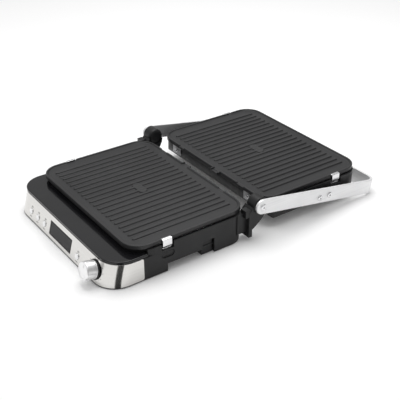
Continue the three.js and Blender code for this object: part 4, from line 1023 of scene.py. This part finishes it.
def corner_web(side_name, side):
    """Squared rear corner of the base that runs back into its hinge tower."""
    bm = rounded_slab((WALL_X - 13.0, PLATE_MID_Y + 82.0), (WALL_X - 0.4, PLATE_MID_Y + 101.0), [1.2] * 4,
                      WEB_FOOT, RIM_TOP - 7.9, 0.8, 4)
    moved(bm, mirrored(side))
    piece(bm, f"corner_web_{side_name}", "base", "matt_black")


for side_name, side_sign in SIDES.items():
    corner_web(side_name, side_sign)
softened("base_housing", "matt_black", 0.5, 40.0)
softened("lid_housing", "matt_black", 0.4, 50.0)
for side_name in SIDES:
    softened(f"hinge_tower_{side_name}", "matt_black", 0.8)
    softened(f"lid_bracket_{side_name}", "zinc", 0.3)
softened("base_floor", "matt_black", 0.3, 50.0)
softened("front_cover_plate", "matt_black", 0.4, 50.0)

CAD_FINISHES = {
    "circuit": ("control_board", "power_board"),
    "matt_black": ("encoder_body", "pivot_bush_left", "pivot_bush_right"),
    "zinc": ("knob_shaft", "heater_lower", "heater_upper", "thermostat_lower", "thermostat_upper",
             "clip_pin_lower_left", "clip_pin_lower_right", "clip_pin_upper_left", "clip_pin_upper_right"),
    "brushed_aluminium": ("reflector_lower", "reflector_upper"),
}
for finish_name, names in CAD_FINISHES.items():
    for cad_name in names:
        for slot in frame["nodes"][cad_name].material_slots:
            slot.material = FINISHES[finish_name]


# ---------------------------------------------------------------- floor, light and camera
def studio_floor():
    bm = bmesh.new()
    bmesh.ops.create_grid(bm, x_segments=2, y_segments=2, size=6.0)
    mesh = bpy.data.meshes.new("studio_floor")
    bm.to_mesh(mesh)
    bm.free()
    material, tree, shader, where = new_finish("floor_paper")
    tone = noise_node(tree, where, 3.0, 2.0)
    paper = mix_colour(tree, tone, (0.93, 0.93, 0.93), (0.95, 0.95, 0.95))
    tree.links.new(paper, shader.inputs["Base Color"])
    shader.inputs["Roughness"].default_value = 0.9
    shader.inputs["Specular IOR Level"].default_value = 0.1
    shader.inputs["Emission Color"].default_value = (1.0, 1.0, 1.0, 1.0)
    shader.inputs["Emission Strength"].default_value = 0.05
    mesh.materials.append(material)
    floor = bpy.data.objects.new("studio_floor", mesh)
    link(floor)


def shade_card():
    """Dark wedge on the floor off the front right corner, seen only as a reflection in the steel."""
    near, far, reach = 4.0, 62.0, 230.0
    bm = bmesh.new()
    bmesh.ops.create_grid(bm, x_segments=1, y_segments=1, size=0.5)
    moved(bm, Matrix.Diagonal((2.0, reach, 1.0, 1.0)) @ shift(0, -0.5, 0))
    for v in bm.verts:
        v.co.x *= far if v.co.y < -reach / 2 else near
    corner = shift(WALL_X - 6.0, band_low.y + 22.0, 0.8)
    moved(bm, Matrix.Scale(MM, 4) @ corner @ turn("Z", CARD_AZIMUTH))
    mesh = bpy.data.meshes.new("shade_card")
    bm.to_mesh(mesh)
    bm.free()
    mesh.materials.append(FINISHES["rubber"])
    card = bpy.data.objects.new("shade_card", mesh)
    link(card)
    card.visible_camera = False
    card.visible_diffuse = False
    card.visible_shadow = False


def studio_world():
    """Pale surround with a brighter front, a calmer right side and light from above."""
    world = bpy.data.worlds.new("studio")
    world.use_nodes = True
    tree = world.node_tree
    tree.nodes.clear()
    way = node(tree, "ShaderNodeTexCoord").outputs["Generated"]
    parts = node(tree, "ShaderNodeSeparateXYZ")
    tree.links.new(way, parts.inputs[0])
    back = math_node(tree, "MULTIPLY", parts.outputs["Y"], -1.0)
    azimuth = math_node(tree, "ARCTAN2", parts.outputs["X"], back)
    front = ramp_node(tree, azimuth, math.radians(62), math.radians(38))
    not_behind = ramp_node(tree, azimuth, math.radians(-165), math.radians(-120))
    panel = math_node(tree, "MULTIPLY", front, not_behind)
    lit = math_node(tree, "ADD", math_node(tree, "MULTIPLY", panel, 0.24), 0.34)
    overhead = ramp_node(tree, parts.outputs["Z"], 0.45, 0.85, 0.0, 0.36)
    level = math_node(tree, "ADD", lit, overhead)
    path = node(tree, "ShaderNodeLightPath")
    seen = node(tree, "ShaderNodeMix", data_type="FLOAT")
    tree.links.new(path.outputs["Is Camera Ray"], seen.inputs[0])
    tree.links.new(level, seen.inputs[2])
    seen.inputs[3].default_value = 1.0
    sky = node(tree, "ShaderNodeBackground")
    sky.inputs["Color"].default_value = (1.0, 1.0, 1.0, 1.0)
    tree.links.new(seen.outputs[0], sky.inputs["Strength"])
    out = node(tree, "ShaderNodeOutputWorld")
    tree.links.new(sky.outputs[0], out.inputs["Surface"])
    bpy.context.scene.world = world


def soft_lamp(name, place, aim, size, watts):
    data = bpy.data.lights.new(name, "AREA")
    data.shape = "DISK"
    data.size = size
    data.energy = watts
    lamp = bpy.data.objects.new(name, data)
    lamp.location = place
    lamp.rotation_euler = (Vector(aim) - Vector(place)).to_track_quat("-Z", "Y").to_euler()
    link(lamp)


def studio_camera():
    """Looks down on the open press from its front right, with both plates in the frame."""
    azimuth, elevation = math.radians(CAMERA_AZIMUTH), math.radians(CAMERA_ELEVATION)
    target = Vector((80.0, PLATE_MID_Y + 63.2, 50.0)) * MM
    level = math.cos(elevation)
    back = Vector((math.sin(azimuth) * level, -math.cos(azimuth) * level, math.sin(elevation)))
    data = bpy.data.cameras.new("studio_camera")
    data.sensor_width = SENSOR_WIDTH
    data.lens = FOCAL_SHARE * SENSOR_WIDTH
    camera = bpy.data.objects.new("studio_camera", data)
    camera.location = target + back * CAMERA_DISTANCE
    camera.rotation_euler = back.to_track_quat("Z", "Y").to_euler()
    link(camera)
    bpy.context.scene.camera = camera


studio_floor()
shade_card()
studio_world()
soft_lamp("overhead_lamp", (-0.25, 0.25, 1.5), (0, 0, 0), 1.4, 14.0)
studio_camera()
bpy.context.scene.view_settings.view_transform = "Standard"
